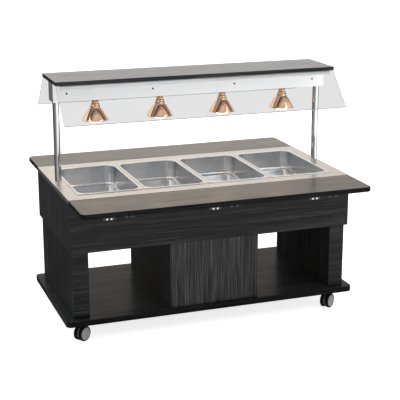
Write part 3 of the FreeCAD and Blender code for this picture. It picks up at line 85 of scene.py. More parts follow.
class Graph:
    """Adds nodes to one node tree and links them in a line each."""

    def __init__(self, tree: bpy.types.NodeTree) -> None:
        """Keep the tree that the nodes go to: a material's, a group's or the world's."""
        self.tree = tree

    def feed(self, node: Node, values: dict) -> None:
        """Set or link inputs of a node.

        Args:
            node: The node.
            values: Value or socket for each named or numbered input.
        """
        for key, value in values.items():
            if isinstance(value, Socket):
                self.tree.links.new(value, node.inputs[key])
            else:
                node.inputs[key].default_value = value

    def add(self, kind: str, inputs: Optional[dict] = None, **settings: object) -> Node:
        """Add one node.

        Args:
            kind: The node's type without the ShaderNode prefix.
            inputs: Value or socket for each named or numbered input.
            settings: Properties of the node itself.

        Returns:
            The new node.
        """
        node = self.tree.nodes.new("ShaderNode" + kind)
        for key, value in settings.items():
            setattr(node, key, value)
        self.feed(node, inputs or {})
        return node

    def math(self, operation: str, first: object, second: object, clamp: bool = False) -> Socket:
        """Result of one arithmetic step on sockets or numbers."""
        inputs = {0: first, 1: second}
        return self.add("Math", inputs, operation=operation, use_clamp=clamp).outputs[0]

    def product(self, *factors: object) -> Socket:
        """Product of two or more sockets or numbers, taken from the left."""
        return reduce(partial(self.math, "MULTIPLY"), factors)

    def vector(self, operation: str, first: Socket, second: Socket) -> Socket:
        """Result of one step on two vectors."""
        return self.add("VectorMath", {0: first, 1: second}, operation=operation).outputs[0]

    def mix(self, share: object, first: object, second: object) -> Socket:
        """Mix of two values, by the share of the second."""
        return self.add("Mix", {0: share, 2: first, 3: second}).outputs[0]

    def remap(self, value: Socket, made: Point = UNIT, source: Point = UNIT) -> Socket:
        """Value with its source range mapped onto the made one and its ends held."""
        ends = {"From Min": source[0], "From Max": source[1], "To Min": made[0], "To Max": made[1]}
        return self.add("MapRange", {"Value": value, **ends}).outputs[0]

    def noise(self, point: Socket, scale: object, detail: float, **more: float) -> Socket:
        """Smooth noise of a given scale, with further inputs by name."""
        inputs = {"Vector": point, "Scale": scale, "Detail": detail, **more}
        return self.add("TexNoise", inputs).outputs["Fac"]

    def ramp(self, value: Socket, stops: Sequence[tuple[float, tuple]]) -> Socket:
        """Colour of a mask.

        Args:
            value: The mask.
            stops: A few (place, colour) stops.

        Returns:
            The colour's socket.
        """
        node = self.add("ValToRGB", {"Fac": value})
        elements = node.color_ramp.elements
        while len(elements) < len(stops):
            elements.new(0.5)
        for element, (place, colour) in zip(elements, stops):
            element.position = place
            element.color = (*colour, 1.0)
        return node.outputs["Color"]


def node_group(name: str, inputs: dict, outputs: Sequence[str]) -> tuple[Graph, dict, Node]:
    """Start a shader node group with named sockets.

    Args:
        name: Name of the group.
        inputs: Default of each input: a number, or a tuple of three for a vector.
        outputs: Names of the value outputs.

    Returns:
        The graph, the group's input sockets by name, and its output node.
    """
    tree = bpy.data.node_groups.new(name, "ShaderNodeTree")
    for key, value in inputs.items():
        kind = "NodeSocketVector" if isinstance(value, tuple) else "NodeSocketFloat"
        socket = tree.interface.new_socket(name=key, in_out="INPUT", socket_type=kind)
        socket.default_value = value
    for key in outputs:
        tree.interface.new_socket(name=key, in_out="OUTPUT", socket_type="NodeSocketFloat")
    entry = tree.nodes.new("NodeGroupInput")
    end = tree.nodes.new("NodeGroupOutput")
    return Graph(tree), {key: entry.outputs[key] for key in inputs}, end


class Effects:
    """Node groups that more than one finish uses, each built once."""

    made: dict[str, bpy.types.NodeTree] = {}
    stretched = {"Point": (0.0, 0.0, 0.0), "Stretch": (1.0, 1.0, 1.0)}

    @classmethod
    def place(cls, graph: Graph, name: str, **inputs: object) -> dict[str, Socket]:
        """Put an effect in a material.

        Args:
            graph: The material's graph.
            name: Name of the method that builds the effect.
            inputs: Value or socket for each input, with spaces in its name as underscores.

        Returns:
            The group node's outputs by name.
        """
        if name not in cls.made:
            cls.made[name] = getattr(cls, name)()
        node = graph.tree.nodes.new("ShaderNodeGroup")
        node.node_tree = cls.made[name]
        graph.feed(node, {key.replace("_", " "): value for key, value in inputs.items()})
        return {socket.name: socket for socket in node.outputs}

    @classmethod
    def wood_streaks(cls) -> bpy.types.NodeTree:
        """Fine, middling and broad streaks of a printed wood grain, stretched along one axis.

        Returns:
            The group's tree.
        """
        kinds = {
            "Fine": (0.9, 5.0, 0.62, (0.34, 0.68)),
            "Middling": (0.28, 2.0, 0.6, (0.34, 0.66)),
            "Broad": (0.05, 2.0, 0.5, (0.3, 0.7)),
        }
        graph, given, end = node_group("wood_streaks", cls.stretched, list(kinds))
        place = graph.vector("MULTIPLY", given["Point"], given["Stretch"])
        wander = graph.add("TexNoise", {"Vector": place, "Scale": 0.02, "Detail": 1.0})
        bent = graph.vector("ADD", wander.outputs["Color"], place)
        for name, (scale, detail, roughness, kept) in kinds.items():
            streak = graph.noise(bent, scale, detail, Roughness=roughness)
            graph.feed(end, {name: graph.remap(streak, source=kept)})
        return graph.tree

    @classmethod
    def brush_lines(cls) -> bpy.types.NodeTree:
        """Hair lines of brushed metal, stretched along one axis.

        Returns:
            The group's tree.
        """
        graph, given, end = node_group("brush_lines", cls.stretched, ["Lines"])
        place = graph.vector("MULTIPLY", given["Point"], given["Stretch"])
        graph.feed(end, {"Lines": graph.noise(place, 1.0, 3.0, Roughness=0.7)})
        return graph.tree

    @classmethod
    def handling(cls) -> bpy.types.NodeTree:
        """Soft smudges from hands and wiping cloths, and a light dust of fine specks.

        Returns:
            The group's tree.
        """
        defaults = {"Point": (0.0, 0.0, 0.0), "Smudge Scale": 9.0, "Speck Scale": 900.0}
        graph, given, end = node_group("handling", defaults, ["Smudge", "Speck"])
        smudge = graph.noise(given["Point"], given["Smudge Scale"], 4.0, Distortion=0.6)
        speck = graph.noise(given["Point"], given["Speck Scale"], 2.0)
        graph.feed(end, {"Smudge": graph.remap(smudge, source=(0.35, 0.7)), "Speck": speck})
        return graph.tree


# Finishes

def stretch(along: Along, across: float, share: float) -> tuple:
    """Scale of a pattern along each axis, with only a share of it along its own."""
    return tuple(across * share if axis is along else across for axis in Along)


def scaled(tone: tuple, share: float, lift: float = 0.0) -> tuple:
    """A colour at a share of its brightness, with a lift."""
    return tuple(value * share + lift for value in tone)


@dataclass(frozen=True)
class Finish:
    """A surface finish that builds its material once."""

    name: str

    def material(self) -> bpy.types.Material:
        """The finish's material, made at the first call.

        Returns:
            The material.
        """
        known = bpy.data.materials.get(self.name)
        if known is not None:
            return known
        made = bpy.data.materials.new(self.name)
        made.use_nodes = True
        graph = Graph(made.node_tree)
        point = graph.add("TexCoord").outputs["Object"]
        self.build(graph, made.node_tree.nodes["Principled BSDF"], point)
        return made

    def build(self, graph: Graph, shader: Node, point: Socket) -> None:
        """Set the shader up for this finish, by nodes of the graph that start at the point."""
        raise NotImplementedError

    @staticmethod
    def relieve(graph: Graph, shader: Node, height: Socket, depth: float, kept: float) -> None:
        """Feed the shader's normal from a height of a real depth, of which a share is kept."""
        bump = graph.add("Bump", {"Height": height, "Distance": depth, "Strength": kept})
        graph.feed(shader, {"Normal": bump.outputs["Normal"]})


@dataclass(frozen=True)
class Laminate(Finish):
    """Dark decorative laminate with a straight printed grain and a satin face."""

    along: Along = Along.X
    dark: tuple = (0.004, 0.004, 0.0045)
    light: tuple = (0.046, 0.046, 0.048)
    middle_share: float = 0.3
    roughness: Point = (0.33, 0.37)
    seal: Point = (0.12, 0.42)
    seal_roughness: float = 0.16
    shine: float = 0.06
    lines_per_metre: float = 620.0
    stretch_share: float = 0.016
    line_share: float = 0.55
    band_share: float = 0.22
    pore_depth: float = 0.0002
    relief: float = 0.25

    def build(self, graph: Graph, shader: Node, point: Socket) -> None:
        """Grain in colour, in a seal that the pores break up, and in a shallow relief.

        Args:
            graph: The material's graph.
            shader: The material's Principled BSDF.
            point: Object coordinates.
        """
        drawn = stretch(self.along, self.lines_per_metre, self.stretch_share)
        grain = Effects.place(graph, "wood_streaks", Point=point, Stretch=drawn)
        touch = Effects.place(graph, "handling", Point=point)
        lines = graph.mix(self.line_share, grain["Fine"], grain["Middling"])
        total = graph.mix(self.band_share, lines, grain["Broad"])
        both = (low + high for low, high in zip(self.dark, self.light))
        middle = scaled(tuple(both), self.middle_share)
        stops = [(0.15, self.dark), (0.5, middle), (0.85, self.light)]
        graph.feed(shader, {
            "Base Color": graph.ramp(total, stops),
            "Roughness": graph.remap(touch["Smudge"], self.roughness),
            "Coat Weight": graph.remap(total, self.seal),
            "Coat Roughness": self.seal_roughness,
            "Specular IOR Level": self.shine,
        })
        self.relieve(graph, shader, grain["Fine"], self.pore_depth, self.relief)


@dataclass(frozen=True)
class BrushedSteel(Finish):
    """Stainless sheet with brush lines along one axis."""

    along: Along = Along.X
    tone: tuple = (0.66, 0.65, 0.64)
    shade: float = 0.86
    roughness: Point = (0.24, 0.36)
    lines_per_metre: float = 2600.0
    stretch_share: float = 0.006
    scratch_depth: float = 0.00004
    relief: float = 0.35

    def build(self, graph: Graph, shader: Node, point: Socket) -> None:
        """Metal whose gloss and relief follow the brush lines.

        Args:
            graph: The material's graph.
            shader: The material's Principled BSDF.
            point: Object coordinates.
        """
        drawn = stretch(self.along, self.lines_per_metre, self.stretch_share)
        lines = Effects.place(graph, "brush_lines", Point=point, Stretch=drawn)["Lines"]
        touch = Effects.place(graph, "handling", Point=point, Smudge_Scale=6.0)
        stops = [(0.3, scaled(self.tone, self.shade)), (0.7, self.tone)]
        graph.feed(shader, {
            "Base Color": graph.ramp(lines, stops),
            "Roughness": graph.remap(graph.mix(0.5, lines, touch["Smudge"]), self.roughness),
            "Metallic": 1.0,
        })
        self.relieve(graph, shader, lines, self.scratch_depth, self.relief)


@dataclass(frozen=True)
class SmoothMetal(Finish):
    """Polished, plated or drawn metal with faint marks from handling."""

    tone: tuple = (0.78, 0.78, 0.78)
    shade: float = 0.93
    roughness: Point = (0.04, 0.10)
    grain_depth: float = 0.00002
    relief: float = 0.02

    def build(self, graph: Graph, shader: Node, point: Socket) -> None:
        """Metal whose gloss is broken a little by smudges.

        Args:
            graph: The material's graph.
            shader: The material's Principled BSDF.
            point: Object coordinates.
        """
        marks = {"Smudge_Scale": 28.0, "Speck_Scale": 1400.0}
        touch = Effects.place(graph, "handling", Point=point, **marks)
        stops = [(0.0, self.tone), (1.0, scaled(self.tone, self.shade))]
        graph.feed(shader, {
            "Base Color": graph.ramp(touch["Smudge"], stops),
            "Roughness": graph.remap(touch["Smudge"], self.roughness),
            "Metallic": 1.0,
        })
        self.relieve(graph, shader, touch["Speck"], self.grain_depth, self.relief)


@dataclass(frozen=True)
class SpunCopper(SmoothMetal):
    """Polished copper under a clear lacquer."""

    lacquer_index: float = 1.9
    lacquer_roughness: float = 0.03

    def build(self, graph: Graph, shader: Node, point: Socket) -> None:
        """Metal of the base class with a hard clear coat.

        Args:
            graph: The material's graph.
            shader: The material's Principled BSDF.
            point: Object coordinates.
        """
        super().build(graph, shader, point)
        coat = {"Weight": 1.0, "Roughness": self.lacquer_roughness, "IOR": self.lacquer_index}
        graph.feed(shader, {"Coat " + key: value for key, value in coat.items()})


@dataclass(frozen=True)
class Moulded(Finish):
    """Moulded plastic, rubber or paint with a fine texture."""

    tone: tuple = (0.03, 0.03, 0.03)
    scuff: float = 1.25
    scuff_lift: float = 0.004
    roughness: Point = (0.35, 0.55)
    pebble_depth: float = 0.00006
    relief: float = 0.25
    coat: float = 0.0
    shine: float = 0.5

    def build(self, graph: Graph, shader: Node, point: Socket) -> None:
        """Even colour with a little scuffing and a pebbled relief.

        Args:
            graph: The material's graph.
            shader: The material's Principled BSDF.
            point: Object coordinates.
        """
        marks = {"Smudge_Scale": 60.0, "Speck_Scale": 2200.0}
        touch = Effects.place(graph, "handling", Point=point, **marks)
        stops = [(0.2, self.tone), (1.0, scaled(self.tone, self.scuff, self.scuff_lift))]
        graph.feed(shader, {
            "Base Color": graph.ramp(touch["Smudge"], stops),
            "Roughness": graph.remap(touch["Speck"], self.roughness),
            "Coat Weight": self.coat,
            "Specular IOR Level": self.shine,
        })
        self.relieve(graph, shader, touch["Speck"], self.pebble_depth, self.relief)


@dataclass(frozen=True)
class ClearGlass(Finish):
    """Clear sheet glass with a faint grey tint, and a low index that keeps reflections weak."""

    tone: tuple = (0.90, 0.905, 0.91)
    shade: float = 0.985
    index: float = 1.3

    def build(self, graph: Graph, shader: Node, point: Socket) -> None:
        """Full transmission, with smudges that only take a little light.

        Args:
            graph: The material's graph.
            shader: The material's Principled BSDF.
            point: Object coordinates.
        """
        touch = Effects.place(graph, "handling", Point=point, Smudge_Scale=7.0)
        stops = [(0.0, self.tone), (1.0, scaled(self.tone, self.shade))]
        graph.feed(shader, {
            "Base Color": graph.ramp(touch["Smudge"], stops),
            "Roughness": 0.0,
            "Transmission Weight": 1.0,
            "IOR": self.index,
        })


@dataclass(frozen=True)
class PaleFloor(Finish):
    """Matt studio floor: bright when looked at, dim where the trolley's surfaces mirror it."""

    tone: tuple = (0.80, 0.80, 0.80)
    shade: float = 0.99
    glow: float = 0.80
    through_glass: float = 0.12
    mirrored: float = 0.95
    hidden: tuple = (0.08, 0.08, 0.08)
    roughness: float = 0.9
    ahead: Point = (0.5, -1.5)
    left: Point = (-3.0, 0.0)
    left_least: float = 0.15
    right: Point = (0.3, 2.4)
    right_least: float = 0.55

    def build(self, graph: Graph, shader: Node, point: Socket) -> None:
        """Even pale colour with faint clouds, and a glow for straight, mirrored and glazed looks.

        Mirrors see the floor glow in front of the trolley and dark behind it. A ray that glass
        lets through counts as glossy too, so mirror rays are the glossy ones less these.

        Args:
            graph: The material's graph.
            shader: The material's Principled BSDF.
            point: Object coordinates.
        """
        touch = Effects.place(graph, "handling", Point=point, Smudge_Scale=1.0)
        stops = [(0.0, self.tone), (1.0, scaled(self.tone, self.shade))]
        even = graph.ramp(touch["Smudge"], stops)
        path = graph.add("LightPath").outputs
        place = graph.add("SeparateXYZ", {"Vector": point}).outputs
        glass = path["Is Transmission Ray"]
        mirror = graph.math("SUBTRACT", path["Is Glossy Ray"], glass, clamp=True)
        beside = graph.remap(place["X"], (self.left_least, 1.0), self.left)
        front = graph.product(graph.remap(place["Y"], source=self.ahead), beside)
        right = graph.remap(place["X"], (self.right_least, 1.0), self.right)
        rear = graph.product(graph.math("SUBTRACT", 1.0, front), mirror)
        near = graph.product(front, right, self.mirrored)
        glazed = graph.product(glass, graph.math("MAXIMUM", near, self.through_glass))
        bounced = graph.math("MAXIMUM", glazed, graph.product(mirror, near))
        seen = graph.math("MAXIMUM", path["Is Camera Ray"], bounced)
        colours = {0: rear, 6: even, 7: (*self.hidden, 1.0)}
        graph.feed(shader, {
            "Base Color": graph.add("Mix", colours, data_type="RGBA").outputs[2],
            "Emission Strength": graph.product(seen, self.glow),
            "Emission Color": (*WHITE, 1.0),
            "Roughness": self.roughness,
            "Specular IOR Level": 0.0,
        })


@dataclass(frozen=True)
class Glow(Finish):
    """Frosted lamp glass that is lit from inside."""

    tone: tuple = (1.0, 0.86, 0.66)
    edge: tuple = (1.0, 0.62, 0.34)
    strength: float = 9.0
    roughness: float = 0.4

    def build(self, graph: Graph, shader: Node, point: Socket) -> None:
        """Warm light whose colour varies over the frosting.

        Args:
            graph: The material's graph.
            shader: The material's Principled BSDF.
            point: Object coordinates.
        """
        touch = Effects.place(graph, "handling", Point=point, Smudge_Scale=40.0)
        colour = graph.ramp(touch["Smudge"], [(0.0, self.tone), (1.0, self.edge)])
        lit = {"Emission Color": colour, "Emission Strength": self.strength}
        graph.feed(shader, {"Base Color": colour, "Roughness": self.roughness, **lit})


def grey(level: float, blue: float = 0.0) -> tuple:
    """A grey, with some more of its blue."""
    return (level, level, round(level + blue, 6))


LAMINATE_X = Laminate("laminate_along_x")
LAMINATE_Y = Laminate("laminate_along_y", Along.Y)
LAMINATE_Z = Laminate("laminate_along_z", Along.Z)
TOP_LAMINATE = Laminate("top_laminate", light=grey(0.056, 0.002), seal=(0.28, 0.92), shine=0.10)
APRON_X = Laminate(
    "apron_laminate", light=grey(0.044, 0.002), seal=(0.10, 0.36), lines_per_metre=760.0
)
# Much lighter copy of the same dark laminate for the cabinet's front and door: painted light.
LIT_CABINET_FACE = Laminate(
    "cabinet_face_laminate", Along.Z, light=grey(0.112, 0.002), band_share=0.14
)
MATT_X = Laminate(
    "matt_laminate_along_x", light=(0.048, 0.052, 0.058), seal=(0.03, 0.14), shine=0.03
)
# Darker, duller copy of the laminate for the cabinet's side walls inside the open compartments: painted shade of
# the recesses.
SHADED_MATT_Z = Laminate(
    "matt_laminate_along_z", Along.Z, light=grey(0.030, 0.001), seal=(0.0, 0.06), shine=0.0
)
EDGE_X, EDGE_Y = (
    Laminate(name, along, light=grey(0.022, 0.001), seal=(0.04, 0.16), shine=0.02)
    for name, along in (("edge_band_along_x", Along.X), ("edge_band_along_y", Along.Y))
)
SIDE_Z = Laminate("side_laminate_along_z", Along.Z, seal=(0.04, 0.2), shine=0.03)
STEEL_X = BrushedSteel("brushed_steel_along_x")
STEEL_Y = BrushedSteel("brushed_steel_along_y", Along.Y)
TOP_STEEL = BrushedSteel("worktop_steel", tone=(0.64, 0.62, 0.60), roughness=(0.22, 0.32))
# Much brighter copy of the brushed stainless for the lamp housing and the glass rails: painted light.
BRIGHTENED_HOUSING_STEEL = BrushedSteel(
    "housing_steel", tone=grey(0.92), roughness=(0.30, 0.33), relief=0.06
)
PAN_STEEL = SmoothMetal(
    "drawn_pan_steel", (0.68, 0.70, 0.72), roughness=(0.16, 0.27), relief=0.12
)
CHROME = SmoothMetal("polished_chrome", grey(0.74), roughness=(0.03, 0.08))
COPPER = SpunCopper("spun_copper", (1.0, 0.56, 0.32), roughness=(0.04, 0.08))
ZINC = SmoothMetal("zinc_plate", grey(0.30, 0.01), roughness=(0.28, 0.4), relief=0.2)
BRASS = SmoothMetal("satin_brass", (0.72, 0.52, 0.24), roughness=(0.18, 0.3), relief=0.2)
DARK_METAL = SmoothMetal("black_oxide", grey(0.07, 0.005), roughness=(0.3, 0.42), relief=0.2)
HEATED_METAL = SmoothMetal(
    "heat_darkened_tube", (0.30, 0.26, 0.24), roughness=(0.3, 0.45), relief=0.3
)
GLASS = ClearGlass("screen_glass")
GLASS_EDGE = Moulded(
    "ground_glass_edge", (0.36, 0.40, 0.40), roughness=(0.2, 0.35), relief=0.1
)
BULB = Glow("lit_bulb")
RUBBER = Moulded("tyre_rubber", grey(0.004), roughness=(0.5, 0.7), shine=0.12)
WHEEL_BLACK = Moulded("wheel_black", grey(0.005), roughness=(0.4, 0.55), shine=0.15)
# Lighter grey of the caps' raised lip: a painted highlight.
CAP_RIM_HIGHLIGHT = Moulded("caster_cap_rim", (0.66, 0.67, 0.68), roughness=(0.25, 0.35), relief=0.1)
CAP_GREY = Moulded("caster_cap_grey", (0.40, 0.41, 0.42), roughness=(0.28, 0.4), relief=0.15)
BLACK_PLASTIC = Moulded("black_plastic", grey(0.014, 0.001), roughness=(0.3, 0.45))
SWITCH_GREEN = Moulded(
    "switch_green", (0.02, 0.22, 0.06), roughness=(0.15, 0.25), relief=0.05, coat=0.4
)
PILOT_AMBER = Moulded(
    "pilot_amber", (0.85, 0.24, 0.02), roughness=(0.08, 0.16), relief=0.05, coat=0.6
)
PRINT_DARK = Moulded(
    "dark_printed_marks", grey(0.02, 0.002), roughness=(0.45, 0.6), relief=0.05
)
PRINT_WHITE = Moulded("printed_marks", grey(0.75, -0.02), roughness=(0.45, 0.6), relief=0.05)
CERAMIC = Moulded("white_ceramic", (0.78, 0.76, 0.72), roughness=(0.2, 0.3), relief=0.05)


# Shapes

@dataclass(frozen=True)
class Extent:
    """Lowest and highest corner of a space."""

    low: Vector
    high: Vector

    @property
    def size(self) -> Vector:
        """Edge lengths."""
        return self.high - self.low

    @property
    def middle(self) -> Vector:
        """Centre."""
        return (self.low + self.high) / 2

    def at(self, **moved: float) -> Vector:
        """The centre, with the coordinates that are named moved."""
        middle = self.middle
        return Vector([moved.get(name, getattr(middle, name)) for name in "xyz"])


def merged_copy(node: str) -> bmesh.types.BMesh:
    """Copy a frame node's mesh and join its triangles again into flat faces.

    Args:
        node: Name of the frame node.

    Returns:
        The copy.
    """
    copy = bmesh.new()
    copy.from_mesh(frame["nodes"][node].data)
    bmesh.ops.remove_doubles(copy, verts=copy.verts, dist=MERGE_DISTANCE)
    bmesh.ops.dissolve_limit(copy, angle_limit=FLAT_JOIN, verts=copy.verts, edges=copy.edges)
    return copy


def solids_of(node: str) -> list[Extent]:
    """Find the separate solids of a frame node.

    Args:
        node: Name of the frame node.

    Returns:
        Space of each solid, in order along X, then Y, then Z.
    """
    copy = merged_copy(node)
    waiting = set(copy.verts)
    found = []
    while waiting:
        front = [waiting.pop()]
        members = list(front)
        while front:
            vert = front.pop()
            near = [edge.other_vert(vert) for edge in vert.link_edges]
            fresh = [other for other in near if other in waiting]
            waiting.difference_update(fresh)
            members += fresh
            front += fresh
        ends = [[end(vert.co[axis] for vert in members) for axis in range(3)] for end in (min, max)]
        found.append(Extent(Vector(ends[0]), Vector(ends[1])))
    copy.free()
    return sorted(found, key=lambda extent: tuple(round(value, 4) for value in extent.middle))


def smooth_outline(points: Outline, per_span: int = 4) -> list[Point]:
    """Draw a curve through a few outline points.

    Args:
        points: (radius, height) points.
        per_span: Steps between two points.

    Returns:
        Points of a Catmull-Rom curve through the given ones.
    """
    ends = [points[0], *points, points[-1]]
    curve = []
    for around in zip(ends, ends[1:], ends[2:], ends[3:]):
        for step in range(per_span):
            t = step / per_span
            pair = []
            for a, b, c, d in zip(*around):
                slope = c - a + (2 * a - 5 * b + 4 * c - d) * t + (3 * b - a - 3 * c + d) * t * t
                pair.append(b + slope * t / 2)
            curve.append((max(pair[0], 0.0), pair[1]))
    return curve + [points[-1]]


def inwards(points: Outline, distance: float) -> list[Point]:
    """Copy an outline and move it towards the axis, square to its own run.

    Args:
        points: (radius, distance along the axis) points.
        distance: Length of the move.

    Returns:
        The moved points.
    """
    moved = []
    for before, point, after in zip([points[0], *points], points, [*points[1:], points[-1]]):
        run = Vector((after[0] - before[0], after[1] - before[1])).normalized()
        along = min(max(point[1] + run.x * distance, points[0][1]), points[-1][1])
        moved.append((point[0] - run.y * distance, along))
    return moved


def arc(centre: Point, radius: float, start: float, stop: float, steps: int = 6) -> list[Point]:
    """Draw an arc in an outline.

    Args:
        centre: Its centre.
        radius: Its radius.
        start: First angle in degrees, from the outline's first axis.
        stop: Last angle in degrees.
        steps: Number of steps.

    Returns:
        The points, both ends included.
    """
    angles = [math.radians(start + (stop - start) * step / steps) for step in range(steps + 1)]
    x, y = centre
    return [(x + radius * math.cos(angle), y + radius * math.sin(angle)) for angle in angles]


def edges_of(verts: Iterable[bmesh.types.BMVert]) -> set[bmesh.types.BMEdge]:
    """Edges that meet some vertices."""
    return {edge for vert in verts for edge in vert.link_edges}


def of_kind(items: Iterable, kind: type) -> list:
    """Items of one kind of mesh element, from an operator's mixed result."""
    return [item for item in items if isinstance(item, kind)]


def round_over(
    mesh: bmesh.types.BMesh, geom: Iterable, width: float, segments: int, affect: str = "EDGES"
) -> dict:
    """Round edges over where they have room, or corners of a face at any width.

    Args:
        mesh: Mesh that they are in.
        geom: The edges or corners.
        width: Width that the rounding takes from each side.
        segments: Steps of the rounding.
        affect: "EDGES" or "VERTICES".

    Returns:
        What the operator made.
    """
    return bmesh.ops.bevel(
        mesh,
        geom=list(geom),
        offset=width,
        offset_type="OFFSET",
        segments=segments,
        profile=0.5,
        affect=affect,
        clamp_overlap=affect == "EDGES",
        material=-1,
    )


class Bench:
    """One piece on the bench: shapes collect in a bmesh and leave it as one finished object."""

    def __init__(self, name: str, finishes: Sequence[Finish]) -> None:
        """Start an empty piece.

        Args:
            name: Name of the finished object.
            finishes: Finishes in the order of the shapes' finish numbers.
        """
        self.name = name
        self.finishes = finishes
        self.mesh = bmesh.new()

    def fresh(self, before: set[bmesh.types.BMFace]) -> Faces:
        """Faces that came after a mark."""
        return [face for face in self.mesh.faces if face not in before]

    def settle(self, before: set[bmesh.types.BMFace], finish: int) -> Faces:
        """Merge the faces that came after a mark, turn them outwards and number their finish.

        Args:
            before: Faces at the mark.
            finish: Number of the finish.

        Returns:
            The faces.
        """
        verts = {vert for face in self.fresh(before) for vert in face.verts}
        bmesh.ops.remove_doubles(self.mesh, verts=list(verts), dist=MERGE_DISTANCE)
        fresh = self.fresh(before)
        bmesh.ops.recalc_face_normals(self.mesh, faces=fresh)
        for face in fresh:
            face.material_index = finish
        return fresh

    def block(self, extent: Extent, ease: float, finish: int = 0) -> Faces:
        """Add a block with eased edges.

        Args:
            extent: Space that it fills.
            ease: Width of the easing.
            finish: Number of its finish.

        Returns:
            Its faces.
        """
        before = set(self.mesh.faces)
        made = bmesh.ops.create_cube(self.mesh, size=1.0)["verts"]
        bmesh.ops.scale(self.mesh, vec=extent.size, verts=made)
        bmesh.ops.translate(self.mesh, vec=extent.middle, verts=made)
        round_over(self.mesh, edges_of(made), ease, 2)
        return self.settle(before, finish)

    def plan(self, extent: Extent, corners: dict[tuple[int, int], float]) -> bmesh.types.BMFace:
        """Add a level face at the extent's low height, with chosen corners rounded.

        Args:
            extent: Space whose plan the face follows.
            corners: Radius of each rounded corner, by the signs of its X and Y side.

        Returns:
            The face.
        """
        made = bmesh.ops.create_grid(self.mesh, x_segments=1, y_segments=1, size=0.5)["verts"]
        bmesh.ops.scale(self.mesh, vec=Vector((extent.size.x, extent.size.y, 1.0)), verts=made)
        centre = extent.at(z=extent.low.z)
        bmesh.ops.translate(self.mesh, vec=centre, verts=made)
        face = made[0].link_faces[0]
        for (side_x, side_y), radius in corners.items():
            out = Vector((side_x, side_y, 0.0))
            far = max(face.verts, key=lambda vert: (vert.co - centre).dot(out))
            rounded = round_over(self.mesh, [far], radius, CORNER_STEPS, "VERTICES")
            face = rounded["verts"][0].link_faces[0]
        return face

    def slab(self, extent: Extent, corners: dict, ease: float, segments: int = 3) -> None:
        """Add a level board with rounded corners and eased rims.

        Its upper and lower face take the first finish, long edges the second, short the third.

        Args:
            extent: Space that it fills.
            corners: Radius of each rounded corner, by the signs of its X and Y side.
            ease: Width of the easing along the upper and lower rim.
            segments: Steps of the easing.
        """
        before = set(self.mesh.faces)
        face = self.plan(extent, corners)
        raised = bmesh.ops.extrude_face_region(self.mesh, geom=[face])["geom"]
        lifted = of_kind(raised, bmesh.types.BMVert)
        bmesh.ops.translate(self.mesh, vec=UP * extent.size.z, verts=lifted)
        level = [face for face in self.settle(before, 0) if abs(face.normal.z) > 0.9]
        round_over(self.mesh, {edge for face in level for edge in face.edges}, ease, segments)
        for face in self.fresh(before):
            if abs(face.normal.z) < 0.98:
                face.material_index = 2 if abs(face.normal.x) > abs(face.normal.y) else 1

    def turned(
        self,
        outline: Outline,
        base: Vector,
        direction: Vector,
        steps: int,
        finish: int = 0,
        ring: bool = False,
    ) -> Faces:
        """Turn an outline round an axis.

        Args:
            outline: (radius, distance along the axis) points.
            base: Point on the axis where the distances start.
            direction: Unit vector along the axis.
            steps: Steps of the full turn.
            finish: Number of its finish.
            ring: Whether the outline closes on itself.

        Returns:
            The new faces.
        """
        before = set(self.mesh.faces)
        side = direction.orthogonal().normalized()
        places = [base + side * radius + direction * along for radius, along in outline]
        verts = [self.mesh.verts.new(place) for place in places]
        pairs = list(zip(verts, verts[1:])) + ([(verts[-1], verts[0])] if ring else [])
        edges = [self.mesh.edges.new(pair) for pair in pairs]
        bmesh.ops.spin(
            self.mesh,
            geom=verts + edges,
            cent=base,
            axis=direction,
            angle=math.tau,
            steps=steps,
            use_merge=True,
            use_duplicate=False,
        )
        return self.settle(before, finish)

    def disc(
        self,
        radius: float,
        start: Vector,
        stop: Vector,
        ease: float = 0.0,
        steps: int = 32,
        finish: int = 0,
    ) -> None:
        """Add a round bar or disc with eased rims.

        Args:
            radius: Its radius.
            start: Centre of its first face.
            stop: Centre of its last face.
            ease: Width of the easing.
            steps: Steps round it.
            finish: Number of its finish.
        """
        length = (stop - start).length
        outline = [(radius, 0.0), (radius, length)]
        if ease:
            outline = arc((radius - ease, ease), ease, -90, 0, 3)
            outline += arc((radius - ease, length - ease), ease, 0, 90, 3)
        closed = [(0.0, 0.0), *outline, (0.0, length)]
        self.turned(closed, start, (stop - start).normalized(), steps, finish)

    def hexagon(self, across: float, start: Vector, stop: Vector, finish: int = 0) -> None:
        """Add a hexagonal nut with eased edges.

        Args:
            across: Distance between two corners.
            start: Centre of its first face.
            stop: Centre of its last face.
            finish: Number of its finish.
        """
        before = set(self.mesh.faces)
        run = stop - start
        turn = run.to_track_quat("Z", "Y").to_matrix().to_4x4()
        made = bmesh.ops.create_cone(
            self.mesh,
            cap_ends=True,
            segments=6,
            radius1=across / 2,
            radius2=across / 2,
            depth=run.length,
            matrix=Matrix.Translation((start + stop) / 2) @ turn,
        )["verts"]
        round_over(self.mesh, edges_of(made), NUT_EASE, 2)
        self.settle(before, finish)

